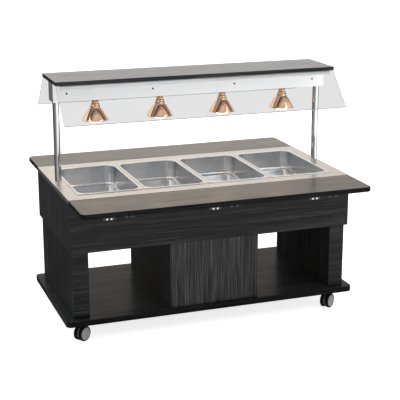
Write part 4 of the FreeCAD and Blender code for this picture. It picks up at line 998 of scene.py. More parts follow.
    def tube(self, points: Sequence[Vector], radius: float, bend: float, sides: int = 20) -> None:
        """Add a round bar along straight runs that meet in tangent bends.

        Args:
            points: Ends and corners of its route.
            radius: Radius of the bar.
            bend: Radius of each bend.
            sides: Steps round the bar.
        """
        before = set(self.mesh.faces)
        heading = (points[1] - points[0]).normalized()
        turn = heading.to_track_quat("Z", "Y").to_matrix().to_4x4()
        ring = bmesh.ops.create_circle(
            self.mesh,
            cap_ends=False,
            segments=sides,
            radius=radius,
            matrix=Matrix.Translation(points[0]) @ turn,
        )["verts"]
        loop = list(edges_of(ring))
        bmesh.ops.contextual_create(self.mesh, geom=loop)
        at = points[0].copy()
        for corner, after in zip(points[1:], [*points[2:], None]):
            leaving = heading if after is None else (after - corner).normalized()
            angle = heading.angle(leaving)
            short = bend * math.tan(angle / 2)
            stop = corner - heading * short
            loop = self.pushed(loop, stop - at)
            if after is None:
                break
            across = heading.cross(leaving).normalized()
            spun = bmesh.ops.spin(
                self.mesh,
                geom=loop + list({vert for edge in loop for vert in edge.verts}),
                cent=stop + across.cross(heading).normalized() * bend,
                axis=across,
                angle=angle,
                steps=max(3, round(math.degrees(angle) / DEGREES_PER_BEND_STEP)),
                use_merge=False,
                use_duplicate=False,
            )["geom_last"]
            loop = of_kind(spun, bmesh.types.BMEdge)
            at = corner + leaving * short
            heading = leaving
        bmesh.ops.contextual_create(self.mesh, geom=loop)
        self.settle(before, 0)

    def pushed(self, loop: list[bmesh.types.BMEdge], run: Vector) -> list[bmesh.types.BMEdge]:
        """Extrude a ring of edges along a straight run.

        Args:
            loop: The ring.
            run: The run.

        Returns:
            The far ring.
        """
        grown = bmesh.ops.extrude_edge_only(self.mesh, edges=loop)["geom"]
        far = set(of_kind(grown, bmesh.types.BMVert))
        bmesh.ops.translate(self.mesh, vec=run, verts=list(far))
        return [edge for edge in of_kind(grown, bmesh.types.BMEdge) if far.issuperset(edge.verts)]

    def copied(self, node: str, ease: float, segments: int = 2) -> None:
        """Add a frame node's own shape with its sharp edges eased, in the first finish.

        Args:
            node: Name of the frame node.
            ease: Width of the easing.
            segments: Steps of the easing.
        """
        copy = merged_copy(node)
        joined = [edge for edge in copy.edges if edge.is_manifold]
        sharp = [edge for edge in joined if edge.calc_face_angle(0.0) > SHARP_EDGE]
        round_over(copy, sharp, ease, segments)
        for face in copy.faces:
            face.material_index = 0
        bridge = bpy.data.meshes.new(self.name + "_bridge")
        copy.to_mesh(bridge)
        copy.free()
        self.mesh.from_mesh(bridge)
        bpy.data.meshes.remove(bridge)

    def screw(self, radius: float, base: Vector, direction: Vector, finish: int = 0) -> None:
        """Add a domed screw head with a hexagonal socket.

        Args:
            radius: Radius of the head.
            base: Centre of its seat.
            direction: Unit vector out of the seat.
            finish: Number of its finish.
        """
        height = radius * 0.44
        socket = radius * 0.42
        floor = height - height * 0.6
        dome = [(1.0, 0.0), (1.0, 0.25), (0.93, 0.6), (0.7, 0.92)]
        outline = [(0.0, 0.0), *((radius * share, height * rise) for share, rise in dome)]
        outline += [(socket, height), (socket * 0.96, floor), (0.0, floor)]
        self.turned(outline, base, direction, 24, finish)

    def finished(
        self, node: str, slot: str = "", angle: float = 35.0, sheet: float = 0.0
    ) -> bpy.types.Object:
        """Make the piece an object that stands for a frame node.

        Args:
            node: Frame node that it replaces and rides with.
            slot: The record's material slot, or nothing for the node's own; it is looked up but not used.
            angle: Angle in degrees past which an edge stays sharp.
            sheet: Thickness that an open surface gets inwards, or 0 for a closed one.

        Returns:
            The finished object.
        """
        slot = slot or SLOT_OF[node]
        data = bpy.data.meshes.new(self.name)
        self.mesh.to_mesh(data)
        self.mesh.free()
        data.shade_smooth()
        data.set_sharp_from_angle(angle=math.radians(angle))
        for finish in self.finishes:
            data.materials.append(finish.material())
        piece = bpy.data.objects.new(self.name, data)
        bpy.context.scene.collection.objects.link(piece)
        if sheet:
            wall = piece.modifiers.new("sheet", "SOLIDIFY")
            wall.thickness = sheet
            wall.offset = -1.0
        flat = piece.modifiers.new("flat_faces", "WEIGHTED_NORMAL")
        flat.keep_sharp = True
        flat.weight = 60
        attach(piece, BODY_OF[node])
        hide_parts(node)
        LOG.info("%s stands for %s: %d faces", self.name, node, len(data.polygons))
        return piece


BEHAVIOUR = frame["record"]["behaviour"]
BODY_OF = {node: body for body, nodes in BEHAVIOUR["bodies"].items() for node in nodes}
SLOT_OF = {part["node"]: part["material_slot"] for part in frame["record"]["subparts"]}
JOINTS = {joint["name"]: joint for joint in frame["joints"]}


def eased(
    node: str, name: str, finish: Finish, ease: float, segments: int = 2, slot: str = ""
) -> None:
    """Make a frame node's own shape, with its sharp edges eased, a piece in one finish.

    Args:
        node: Name of the frame node.
        name: Name of the piece.
        finish: Its finish.
        ease: Width of the easing.
        segments: Steps of the easing.
        slot: The record's material slot, or nothing for the node's own.
    """
    bench = Bench(name, [finish])
    bench.copied(node, ease, segments)
    bench.finished(node, slot)


def dressed(node: str, finish: Finish) -> None:
    """Give a frame node that keeps its own mesh a better material.

    Args:
        node: Name of the frame node.
        finish: Its finish.
    """
    for slot in frame["nodes"][node].material_slots:
        slot.material = finish.material()
    LOG.info("%s keeps its mesh, in %s", node, finish.name)


# The photograph's camera and a plain studio

def placed(name: str, data: bpy.types.ID) -> bpy.types.Object:
    """Make an object of a mesh, a light or a camera and put it in the scene.

    Args:
        name: Its name.
        data: What it shows.

    Returns:
        The object.
    """
    thing = bpy.data.objects.new(name, data)
    bpy.context.scene.collection.objects.link(thing)
    return thing


@dataclass
class Studio:
    """Camera at the photograph's place, soft lights and a pale floor.

    The world's light is set by the three coordinates of a direction: depth (Y), width (X) and
    rise (Z). Each range of them says where one share of the light starts and is full.
    """

    place: tuple = (-1.7897, -5.1223, 2.0739)
    yaw: float = -20.213
    pitch: float = -15.602
    roll: float = 0.098
    focal_pixels: float = 1098.15
    centre_pixels: Point = (208.87, 198.58)
    image_pixels: float = 400.0
    sensor: float = 36.0
    far_clip: float = 100.0
    floor_size: float = 60.0
    front: float = 0.45
    front_depths: Point = (-0.9, -0.2)
    beside: float = 0.30
    behind: float = 1.05
    behind_depths: Point = (0.1, 0.7)
    above: float = 0.6
    above_rises: Point = (0.55, 0.85)
    sides: float = 0.6
    side_widths: Point = (0.5, 0.75)
    side_rises: Point = (0.2, 0.4)
    warm: tuple = (1.0, 0.76, 0.50)
    warm_depths: Point = (0.2, 0.6)
    warm_starts: Point = (0.20, 0.27)
    warm_ends: Point = (0.36, 0.28)
    right_share: float = 0.45
    right_widths: Point = (0.33, 0.47)
    lamp_size: float = 2.4
    lamps: tuple = (
        ("key", (2.6, -3.4, 3.4), (0.2, 0.0, 0.6), 30.0),
        ("fill", (-3.6, -1.4, 2.6), (0.0, 0.0, 0.6), 14.0),
    )

    def camera(self) -> None:
        """Make the camera and set it as the scene's own."""
        data = bpy.data.cameras.new("photo_camera")
        data.sensor_width = self.sensor
        data.lens = self.focal_pixels / self.image_pixels * self.sensor
        half = self.image_pixels / 2
        data.shift_x = (half - self.centre_pixels[0]) / self.image_pixels
        data.shift_y = (self.centre_pixels[1] - half) / self.image_pixels
        data.clip_end = self.far_clip
        view = Matrix.Translation(self.place)
        for angle, axis in ((self.yaw, "Z"), (90 + self.pitch, "X"), (self.roll, "Z")):
            view = view @ Matrix.Rotation(math.radians(angle), 4, axis)
        camera = placed("photo_camera", data)
        camera.matrix_world = view
        bpy.context.scene.camera = camera

    def floor(self) -> None:
        """Lay the pale floor."""
        made = bmesh.new()
        bmesh.ops.create_grid(made, x_segments=1, y_segments=1, size=self.floor_size / 2)
        data = bpy.data.meshes.new("floor")
        made.to_mesh(data)
        made.free()
        data.materials.append(PaleFloor("pale_floor").material())
        placed("floor", data)

    def world(self) -> None:
        """Surround the studio with soft light.

        It is bright behind the trolley and above it and dim beside it. A warm band low behind
        it, darker on the right, is what the worktop and the shelves mirror. The camera sees
        plain white.
        """
        world = bpy.data.worlds.new("soft_studio")
        world.use_nodes = True
        bpy.context.scene.world = world
        graph = Graph(world.node_tree)
        around = graph.add("TexCoord").outputs["Generated"]
        width, depth, rise = graph.add("SeparateXYZ", {"Vector": around}).outputs
        before = graph.remap(depth, (self.front, self.beside), self.front_depths)
        beyond = graph.remap(depth, (0.0, self.behind - self.beside), self.behind_depths)
        overhead = graph.remap(rise, (0.0, self.above), self.above_rises)
        aside = graph.math("ABSOLUTE", width, 0.0)
        flank = graph.product(
            graph.remap(aside, (0.0, self.sides), self.side_widths),
            graph.remap(rise, source=self.side_rises),
        )
        level = graph.math("ADD", before, beyond)
        whole = graph.math("ADD", level, graph.math("ADD", flank, overhead))
        band = graph.product(
            graph.remap(depth, source=self.warm_depths),
            graph.remap(rise, source=self.warm_starts),
            graph.remap(rise, source=self.warm_ends),
        )
        right = graph.product(band, graph.remap(width, source=self.right_widths))
        light = graph.product(whole, graph.mix(right, 1.0, self.right_share))
        seen = graph.add("LightPath").outputs["Is Camera Ray"]
        graph.feed(world.node_tree.nodes["Background"], {
            "Color": graph.ramp(band, [(0.0, WHITE), (1.0, self.warm)]),
            "Strength": graph.mix(seen, light, 1.0),
        })

    def lamp(self, name: str, place: tuple, target: tuple, watts: float) -> None:
        """Hang one soft square light.

        Args:
            name: Its name.
            place: Where it hangs.
            target: Point that it faces.
            watts: Its power.
        """
        data = bpy.data.lights.new(name, "AREA")
        data.shape = "SQUARE"
        data.size = self.lamp_size
        data.energy = watts
        light = placed(name, data)
        light.location = place
        aim = Vector(target) - Vector(place)
        light.rotation_euler = aim.to_track_quat("-Z", "Y").to_euler()
        light.visible_camera = False

    def build(self) -> None:
        """Set up everything that isn't part of the trolley."""
        self.camera()
        self.world()
        self.floor()
        for lamp in self.lamps:
            self.lamp(*lamp)
        bpy.context.scene.view_settings.view_transform = "Standard"


# Laminate body

@dataclass
class Cabinetry:
    """Boards of the body: laminated faces with banded edges."""

    ease: float = 0.0008
    base_corner: float = 0.024
    base_ease: float = 0.003
    foot_gap: float = 0.0012
    faces: dict[str, Finish] = field(default_factory=lambda: {
        "leg_panels": SIDE_Z,
        "leg_strips": LAMINATE_X,
        # The compartments' side walls take a darker copy of the laminate: painted shade.
        "cabinet_sides": SHADED_MATT_Z,
        # The cabinet's front and door take a lighter copy of the laminate: painted light.
        "cabinet_front": LIT_CABINET_FACE,
        "cabinet_door": LIT_CABINET_FACE,
        "apron_front": APRON_X,
        "apron_rear": APRON_X,
        "canopy_board": TOP_LAMINATE,
    })

    def boards(self, node: str, finish: Finish) -> None:
        """Make each solid of a node a board whose edges are banded along their own length.

        Args:
            node: Frame node of the boards.
            finish: Laminate of their faces.
        """
        bench = Bench(node + "_boards", [finish, LAMINATE_X, LAMINATE_Y, LAMINATE_Z])
        gap = self.foot_gap if node.startswith("leg") else 0.0
        for extent in solids_of(node):
            space = Extent(extent.low + UP * gap, extent.high)
            thin, *others = sorted(range(3), key=lambda axis: extent.size[axis])
            for face in bench.block(space, self.ease):
                if abs(face.normal[thin]) < 0.9:
                    along = min(sorted(others), key=lambda axis: abs(face.normal[axis]))
                    face.material_index = 1 + along
        bench.finished(node)

    def base(self) -> None:
        """Base board with round corners and a rounded rim."""
        bench = Bench("base_board_slab", [MATT_X, EDGE_X, EDGE_Y])
        corners = {(x, y): self.base_corner for x in (-1, 1) for y in (-1, 1)}
        bench.slab(solids_of("base_board")[0], corners, self.base_ease)
        bench.finished("base_board")

    def build(self) -> None:
        """Make every board of the body and the canopy, and the panels with cut-outs."""
        self.base()
        for node, finish in self.faces.items():
            self.boards(node, finish)
        for node, finish in {"apron_ends": LAMINATE_Z, "apron_bottom": MATT_X}.items():
            eased(node, node + "_panels", finish, self.ease)


# Worktop, pans and the well

def quarter(steps: int) -> list[float]:
    """Angles of the steps of a quarter turn, both ends included."""
    return [math.pi / 2 * step / steps for step in range(steps + 1)]


@dataclass
class Worktop:
    """Folded steel top, deep-drawn pans and what hangs under them."""

    plate_ease: float = 0.0012
    rim_corner: float = 0.012
    rim_roll: float = 0.0016
    hem_drop: float = 0.0035
    flange: float = 0.012
    throat: float = 0.004
    wall_corner: float = 0.048
    wall_lean: float = 0.0003
    shoulder_drop: float = 0.022
    shoulder: float = 0.0022
    taper: float = 0.0035
    floor_rounding: float = 0.013
    crown: float = 0.0012
    sheet: float = 0.001
    sharp_angle: float = 50.0
    rod_radius: float = 0.004
    rod_slack: float = 1e-5
    nut_length: float = 0.1
    liner_eases: tuple = (0.0006, 0.0008, 0.0006)

    def section(self, depth: float) -> list[tuple[float, float, float]]:
        """Rings of a pan from its outer hem to its floor.

        Args:
            depth: Full depth of the pan.

        Returns:
            (distance in from the outer edge, drop below the rim, corner radius) of each ring.
        """
        rings = [(0.0, self.hem_drop, self.rim_corner)]
        for turn in quarter(3):
            inset = self.rim_roll * (1 - math.cos(turn))
            rings.append((inset, self.rim_roll * (1 - math.sin(turn)), self.rim_corner - inset))
        wall = self.flange + self.sheet
        outer = self.wall_corner - self.sheet
        for turn in quarter(5):
            run = self.throat * (1 - math.sin(turn))
            rings.append((wall - run, self.throat * (1 - math.cos(turn)), outer + run))
        step = wall + self.shoulder
        low = step + self.taper
        floor = depth - self.sheet
        rings.append((wall + self.wall_lean, self.shoulder_drop, outer))
        rings.append((step, self.shoulder_drop + self.shoulder, outer - self.shoulder))
        corner = outer - self.shoulder - self.taper
        for turn in quarter(6):
            run = self.floor_rounding * (1 - math.cos(turn))
            drop = floor - self.floor_rounding * (1 - math.sin(turn))
            rings.append((low + run, drop, corner - run))
        inner = low + self.floor_rounding * 3
        rings.append((inner, floor - self.crown, corner - self.floor_rounding))
        return rings

    def pan(self, node: str) -> None:
        """Deep pan with a rolled rim, a stacking shoulder and round corners.

        Args:
            node: Frame node of the pan.
        """
        extent = solids_of(node)[0]
        bench = Bench(node + "_drawn", [PAN_STEEL])
        ring: list[bmesh.types.BMEdge] = []
        for inset, drop, radius in self.section(extent.size.z):
            margin = Vector((inset, inset, 0.0))
            space = Extent(extent.low + margin, extent.high - margin)
            space.low.z = extent.high.z - drop
            corners = {(x, y): radius for x in (-1, 1) for y in (-1, 1)}
            outer, face = ring, bench.plan(space, corners)
            ring = list(face.edges)
            if outer:
                bmesh.ops.delete(bench.mesh, geom=[last], context="FACES_ONLY")
                bmesh.ops.bridge_loops(bench.mesh, edges=outer + ring)
            last = face
        bmesh.ops.recalc_face_normals(bench.mesh, faces=list(bench.mesh.faces))
        if last.normal.z < 0:
            bmesh.ops.reverse_faces(bench.mesh, faces=list(bench.mesh.faces))
        bench.finished(node, angle=self.sharp_angle, sheet=self.sheet)

    def element(self) -> None:
        """Two hairpins of the heating element with their hexagonal nuts."""
        bench = Bench("heating_hairpins", [HEATED_METAL, STEEL_X])
        for extent in solids_of("heating_element"):
            low, high = extent.low, extent.high
            if extent.size.x < self.nut_length:
                bench.hexagon(extent.size.z, extent.at(x=low.x), extent.at(x=high.x), 1)
                continue
            y = (low.y + self.rod_radius, high.y - self.rod_radius)
            left = low.x + self.rod_radius
            ends = [(high.x, y[0]), (left, y[0]), (left, y[1]), (high.x, y[1])]
            route = [extent.at(x=end[0], y=end[1]) for end in ends]
            bench.tube(route, self.rod_radius, (y[1] - y[0]) / 2 - self.rod_slack, 16)
        bench.finished("heating_element")

    def build(self) -> None:
        """Make the worktop and all that it carries, with the tank, the drain and its lever."""
        eased("worktop_plate", "worktop_sheet", TOP_STEEL, self.plate_ease, 3)
        for number in range(1, 5):
            self.pan(f"pan_{number}")
        self.element()
        dressed("pan_cross_bars", STEEL_Y)
        hung = zip(("well_tank", "drain_valve", "drain_lever"), (STEEL_X, BRASS, CHROME))
        for (node, finish), ease in zip(hung, self.liner_eases):
            eased(node, node + "_eased", finish, ease)


# Posts, canopy and glass

@dataclass
class Canopy:
    """Chrome posts, folded lamp housing, screws, and the sloping glass."""

    post_radius: float = 0.016
    post_ease: float = 0.0006
    stud_radius: float = 0.006
    stud_ease: float = 0.0008
    nut_across: float = 0.022
    nut_length: float = 0.1
    housing_ease: float = 0.0010
    glass_ease: float = 0.0009
    rail_ease: float = 0.0004
    head_radius: float = 0.005
    shank_radius: float = 0.0025
    shank_ease: float = 0.0003

    def posts(self) -> None:
        """Polished tubes with their studs and nuts under the worktop."""
        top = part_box("worktop_plate")[1].z
        bench = Bench("chrome_posts", [CHROME, ZINC])
        for extent in solids_of("posts"):
            low, level = extent.at(z=extent.low.z), extent.at(z=top)
            high = extent.at(z=extent.high.z)
            if extent.size.z < self.nut_length:
                bench.hexagon(self.nut_across, low, high, 1)
                continue
            bench.disc(self.post_radius, level, high, self.post_ease, 96)
            bench.disc(self.stud_radius, low, level, self.stud_ease, 24, 1)
        bench.finished("posts")

    def screws(self) -> None:
        """Bright screws down into the posts, dark ones in the housing's long faces."""
        bench = Bench("canopy_screw_heads", [DARK_METAL, CHROME])
        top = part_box("canopy_board")[1].z
        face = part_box("lamp_housing")[1].y
        for extent in solids_of("canopy_screws"):
            seat, end, out, finish = extent.at(z=top), extent.at(z=extent.low.z), UP, 1
            if extent.high.z <= top:
                side = 1.0 if extent.middle.y > 0 else -1.0
                inner = min(abs(extent.low.y), abs(extent.high.y))
                seat, end = extent.at(y=side * face), extent.at(y=side * inner)
                out, finish = Vector((0.0, side, 0.0)), 0
            bench.screw(self.head_radius, seat, out, finish)
            bench.disc(self.shank_radius, end, seat, self.shank_ease, 16, finish)
        bench.finished("canopy_screws")

    def glass(self) -> None:
        """Sloping screens with ground edges, which cast no shadow of their own."""
        for node in ("front_glass", "rear_glass"):
            bench = Bench(node + "_screen", [GLASS, GLASS_EDGE])
            bench.copied(node, self.glass_ease)
            largest = max(bench.mesh.faces, key=lambda face: face.calc_area())
            for face in bench.mesh.faces:
                if abs(face.normal.dot(largest.normal)) < 0.9:
                    face.material_index = 1
            bench.finished(node).visible_shadow = False

    def build(self) -> None:
        """Make everything from the posts up, apart from the board and the lamps."""
        self.posts()
        # The housing and the glass rails take the brightened steel: painted light.
        eased("lamp_housing", "lamp_housing_trough", BRIGHTENED_HOUSING_STEEL, self.housing_ease)
        self.screws()
        self.glass()
        eased("glass_rails", "glass_grip_rails", BRIGHTENED_HOUSING_STEEL, self.rail_ease)


@dataclass
class HeatLamps:
    """Copper lamps over the pans: shade, threaded holder and lit bulb."""

    sheet: float = 0.0011
    radius: float = 0.064
    height: float = 0.096
    steps: int = 96
    sharp_angle: float = 60.0
    bulb_radius: float = 0.043
    bulb_height: float = 0.068
    stem_radius: float = 0.011
    stem_end: float = 0.001
    thread: float = 0.0006
    thread_turns: int = 12
    collar_radius: float = 0.014
    collar: float = 0.003
    collar_ease: float = 0.001
    nut_across: float = 0.034
    nut_heights: Point = (0.0015, 0.0065)
    socket_radius: float = 0.0165
    socket_height: float = 0.026
    socket_ease: float = 0.0015
    beam_gap: float = 0.004
    beam_watts: float = 5.0
    beam_tone: tuple = (1.0, 0.78, 0.55)
    beam_angle: float = 130.0
    beam_blend: float = 0.8
    beam_size: float = 0.035
    outline_shares: tuple = (
        (0.31, 0.00), (0.27, 0.035), (0.245, 0.085), (0.255, 0.125), (0.315, 0.155),
        (0.345, 0.20), (0.375, 0.29), (0.365, 0.345), (0.385, 0.375), (0.47, 0.415),
        (0.56, 0.50), (0.70, 0.64), (0.83, 0.78), (0.93, 0.89), (0.985, 0.955),
        (1.0, 0.985), (0.99, 1.00),
    )
    bulb_shares: tuple = (
        (0.0, 0.0), (0.30, 0.0), (0.33, 0.14), (0.52, 0.30), (0.80, 0.50), (0.96, 0.64),
        (0.99, 0.74), (0.95, 0.84), (0.80, 0.92), (0.52, 0.975), (0.22, 0.995), (0.0, 1.0),
    )

    def shades(self) -> None:
        """Spun shades with a real sheet thickness."""
        bench = Bench("copper_shades", [COPPER])
        points = [(share * self.radius, drop * self.height) for share, drop in self.outline_shares]
        outer = smooth_outline(points)
        wall = outer + inwards(outer, self.sheet)[::-1]
        for extent in solids_of("lamp_shades"):
            bench.turned(wall, extent.at(z=extent.high.z), -UP, self.steps, 0, True)
        bench.finished("lamp_shades", angle=self.sharp_angle)

    def holders(self) -> None:
        """Chrome stem with its thread, ring and nut, and the socket in the shade."""
        bench = Bench("lamp_stems", [CHROME, CERAMIC])
        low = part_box("lamp_housing")[0].z
        root = self.stem_radius - self.thread
        for extent in solids_of("lamp_holders"):
            top, socket_top = extent.high.z, extent.low.z + self.socket_height
            outline = [(0.0, top), (root, top)]
            for turn in range(self.thread_turns):
                z = top - (top - low) * (turn + 0.5) / self.thread_turns
                half = (top - low) / self.thread_turns / 2
                outline += [(self.stem_radius, z), (root, z - half)]
            outline += [(self.stem_radius, low - self.stem_end), (self.stem_radius, socket_top)]
            bench.turned([*outline, (0.0, socket_top)], extent.at(z=0.0), UP, 32)
            ring, level = extent.at(z=low - self.collar), extent.at(z=low)
            bench.disc(self.collar_radius, ring, level, self.collar_ease, 40)
            nut = [extent.at(z=low + height) for height in self.nut_heights]
            bench.hexagon(self.nut_across, *nut)
            ends = extent.at(z=extent.low.z), extent.at(z=socket_top)
            bench.disc(self.socket_radius, *ends, self.socket_ease, 40, 1)
        bench.finished("lamp_holders")

    def bulbs(self) -> None:
        """Lit reflector bulbs, and the warm light that each throws on its pan."""
        bench = Bench("reflector_bulbs", [BULB])
        sizes = self.bulb_radius, self.bulb_height
        points = [(share * sizes[0], drop * sizes[1]) for share, drop in self.bulb_shares]
        outline = [points[0], *smooth_outline(points[1:])]
        for extent in solids_of("lamp_bulbs"):
            bench.turned(outline, extent.at(z=extent.high.z), -UP, 64)
            self.beam(extent.at(z=extent.low.z - self.beam_gap))
        bench.finished("lamp_bulbs")

    def beam(self, place: Vector) -> None:
        """Hang a warm spot of light under a bulb.

        Args:
            place: Where it hangs.
        """
        data = bpy.data.lights.new("lamp_beam", "SPOT")
        data.energy = self.beam_watts
        data.color = self.beam_tone
        data.spot_size = math.radians(self.beam_angle)
        data.spot_blend = self.beam_blend
        data.shadow_soft_size = self.beam_size
        light = placed("lamp_beam", data)
        light.location = place
        light.visible_camera = light.visible_glossy = light.visible_transmission = False

    def build(self) -> None:
        """Make the four lamps."""
        self.shades()
        self.holders()
        self.bulbs()


# Folding shelves

@dataclass
class FoldingShelves:
    """Shelf boards, their hinges and folding stays."""

    corner: float = 0.028
    ease: float = 0.004
    metal_ease: float = 0.0004
    head_radius: float = 0.005
    head_height: float = 0.0022
    socket_rim: float = 0.0022
    socket_depth: float = 0.0013

    def board(self, side: str) -> None:
        """Shelf with two rounded outer corners and a rounded edge.

        Args:
            side: "front" or "rear".
        """
        node = side + "_shelf"
        sign = -1 if side == "front" else 1
        bench = Bench(node + "_board", [TOP_LAMINATE, EDGE_X, EDGE_Y])
        corners = {(-1, sign): self.corner, (1, sign): self.corner}
        bench.slab(solids_of(node)[0], corners, self.ease, 4)
        bench.finished(node)

    def metal(self, side: str) -> None:
        """Hinges and stays of one shelf, with their screws.

        Args:
            side: "front" or "rear".
        """
        for part in ("shelf_brackets", "shelf_arms", "lower_links", "upper_links"):
            node = f"{side}_{part}"
            bench = Bench(node + "_plated", [DARK_METAL, CHROME])
            bench.copied(node, self.metal_ease, 1)
            self.screw_heads(bench)
            bench.finished(node)

    def screw_heads(self, bench: Bench) -> None:
        """Brighten the round heads on a piece and sink a socket into each.

        Args:
            bench: The piece, with plain heads.
        """
        full = math.pi * (self.head_radius - self.metal_ease) ** 2
        facing = [face for face in bench.mesh.faces if abs(face.normal.y) > 0.99]
        round_faces = [face for face in facing if len(face.verts) > 8]
        heads = [face for face in round_faces if abs(face.calc_area() / full - 1) < 0.1]
        for head in heads:
            centre = head.calc_center_median()
            for face in bench.mesh.faces:
                away = face.calc_center_median() - centre
                if abs(away.y) < self.head_height and math.hypot(away.x, away.z) < self.head_radius:
                    face.material_index = 1
        inset = bmesh.ops.inset_individual
        inset(bench.mesh, faces=heads, thickness=self.socket_rim)
        inset(bench.mesh, faces=heads, thickness=self.metal_ease, depth=-self.socket_depth)

    def build(self) -> None:
        """Make both shelves."""
        for side in ("front", "rear"):
            self.board(side)
            self.metal(side)


# Casters

@dataclass
class Casters:
    """Twin-wheel casters: rubber tyres, plain grey caps, a moulded web and a steel plate."""

    radius: float = 0.0375
    width: float = 0.016
    space: float = 0.014
    tyre: float = 0.005
    rounding: float = 0.0035
    groove: float = 0.0008
    axle: float = 0.004
    chamfer: float = 0.0005
    cap_ring: float = 0.0032
    cap_lip: float = 0.0015
    cap_recess: float = 0.0012
    fork_ease: float = 0.0012
    plate_ease: float = 0.0004

    @property
    def cap_radius(self) -> float:
        """Outer radius of the pale cap on a wheel."""
        return self.radius - self.tyre - self.cap_ring

    def wheels(self, name: str) -> None:
        """Tyres and caps of one caster.

        Args:
            name: Which caster, such as "front_left".
        """
        joint = JOINTS[name + "_roll"]
        centre = Vector(joint["pos_m"])
        axle = Vector(joint["axis"]).normalized()
        half = axle * self.space / 2
        tyres = Bench(name + "_rubber", [RUBBER])
        hubs = Bench(name + "_discs", [CAP_GREY, WHEEL_BLACK, CAP_RIM_HIGHLIGHT])
        lip = self.cap_radius - self.cap_lip - self.chamfer
        for side in (-1, 1):
            out = axle * side
            start = centre + half * side
            tyres.turned(self.tyre_outline(), start, out, 80, 0, True)
            for face in hubs.turned(self.cap_outline(), start, out, 72):
                away = face.calc_center_median() - start
                reach = (away - out * away.dot(out)).length
                # Past the cap lies the black ring; the raised lip takes the lighter grey of a painted highlight.
                face.material_index = 1 if reach > self.cap_radius else 2 if reach > lip else 0
        hubs.disc(self.axle, centre - half, centre + half, 0.0, 24, 1)
        tyres.finished(name + "_caster_tyres", "tyre")
        hubs.finished(name + "_caster_hubs", "caster_cap")

    def tyre_outline(self) -> list[Point]:
        """Closed section of a tyre with round shoulders and a shallow middle groove.

        Returns:
            (radius, distance along the axle) points.
        """
        inner = self.radius - self.tyre
        shoulder = self.radius - self.rounding
        low = arc((shoulder, self.rounding), self.rounding, -90, 0, 5)
        high = arc((shoulder, self.width - self.rounding), self.rounding, 0, 90, 5)
        sides = ((0.0, -1.5), (1.0, -0.6), (1.0, 0.6), (0.0, 1.5))
        dip = [
            (self.radius - self.groove * sink, self.width / 2 + self.groove * shift)
            for sink, shift in sides
        ]
        return [(inner, 0.0), *low, *dip, *high, (inner, self.width)]

    def cap_outline(self) -> list[Point]:
        """Section of a wheel disc with a black ring, a raised lip and a slightly domed cap.

        Returns:
            (radius, distance along the axle) points.
        """
        disc = self.radius - self.tyre
        edge = self.cap_radius
        floor = self.width - self.cap_recess
        lip = edge - self.cap_lip
        outline = [(0.0, 0.0), (edge, 0.0), (disc, 0.0), (disc, self.width - self.chamfer)]
        outline += [(disc - self.chamfer, self.width), (edge + self.chamfer, self.width)]
        outline += [(edge + 0.0003, self.width - 0.0004), (edge, self.width)]
        outline += [(lip + 0.0004, self.width), (lip, self.width - 0.0004), (lip - 0.0006, floor)]
        dome = ((0.7, 0.0004), (0.3, 0.0008), (0.0, 0.0009))
        return outline + [(lip * share, floor + rise) for share, rise in dome]

    def build(self) -> None:
        """Make the four casters."""
        for end in ("front", "rear"):
            for side in ("left", "right"):
                name = f"{end}_{side}"
                self.wheels(name)
                web = name + "_caster_fork", name + "_fork_web"
                eased(*web, BLACK_PLASTIC, self.fork_ease, 3, "caster_body")
        eased("caster_plates", "caster_top_plates", ZINC, self.plate_ease)


# Door and controls

@dataclass
class DoorFittings:
    """Hinges of the rear door and its bow handle."""

    ease: float = 0.0004
    handle_height: float = 0.06
    grip: float = 0.005
    bend: float = 0.012
    knuckle: float = 0.004
    leaf: float = 0.002

    def build(self) -> None:
        """Make the hinges and the handle."""
        eased("door_hinges", "door_hinge_leaves", ZINC, self.ease, 1)
        bench = Bench("door_handle_and_leaves", [CHROME, ZINC])
        for extent in solids_of("door_fittings"):
            low, high = extent.low, extent.high
            if extent.size.z > self.handle_height:
                z = (low.z + self.grip, high.z - self.grip)
                out = high.y - self.grip
                ends = ((low.y, z[0]), (out, z[0]), (out, z[1]), (low.y, z[1]))
                route = [extent.at(y=end[0], z=end[1]) for end in ends]
                bench.tube(route, self.grip, self.bend)
                continue
            x, y = high.x - self.knuckle, high.y - self.knuckle
            leaf = Extent(low, Vector((x, low.y + self.leaf, high.z)))
            bench.block(leaf, self.ease, 1)
            pin = Vector((x, y, low.z)), Vector((x, y, high.z))
            bench.disc(self.knuckle, *pin, self.ease, 32, 1)
        bench.finished("door_fittings")


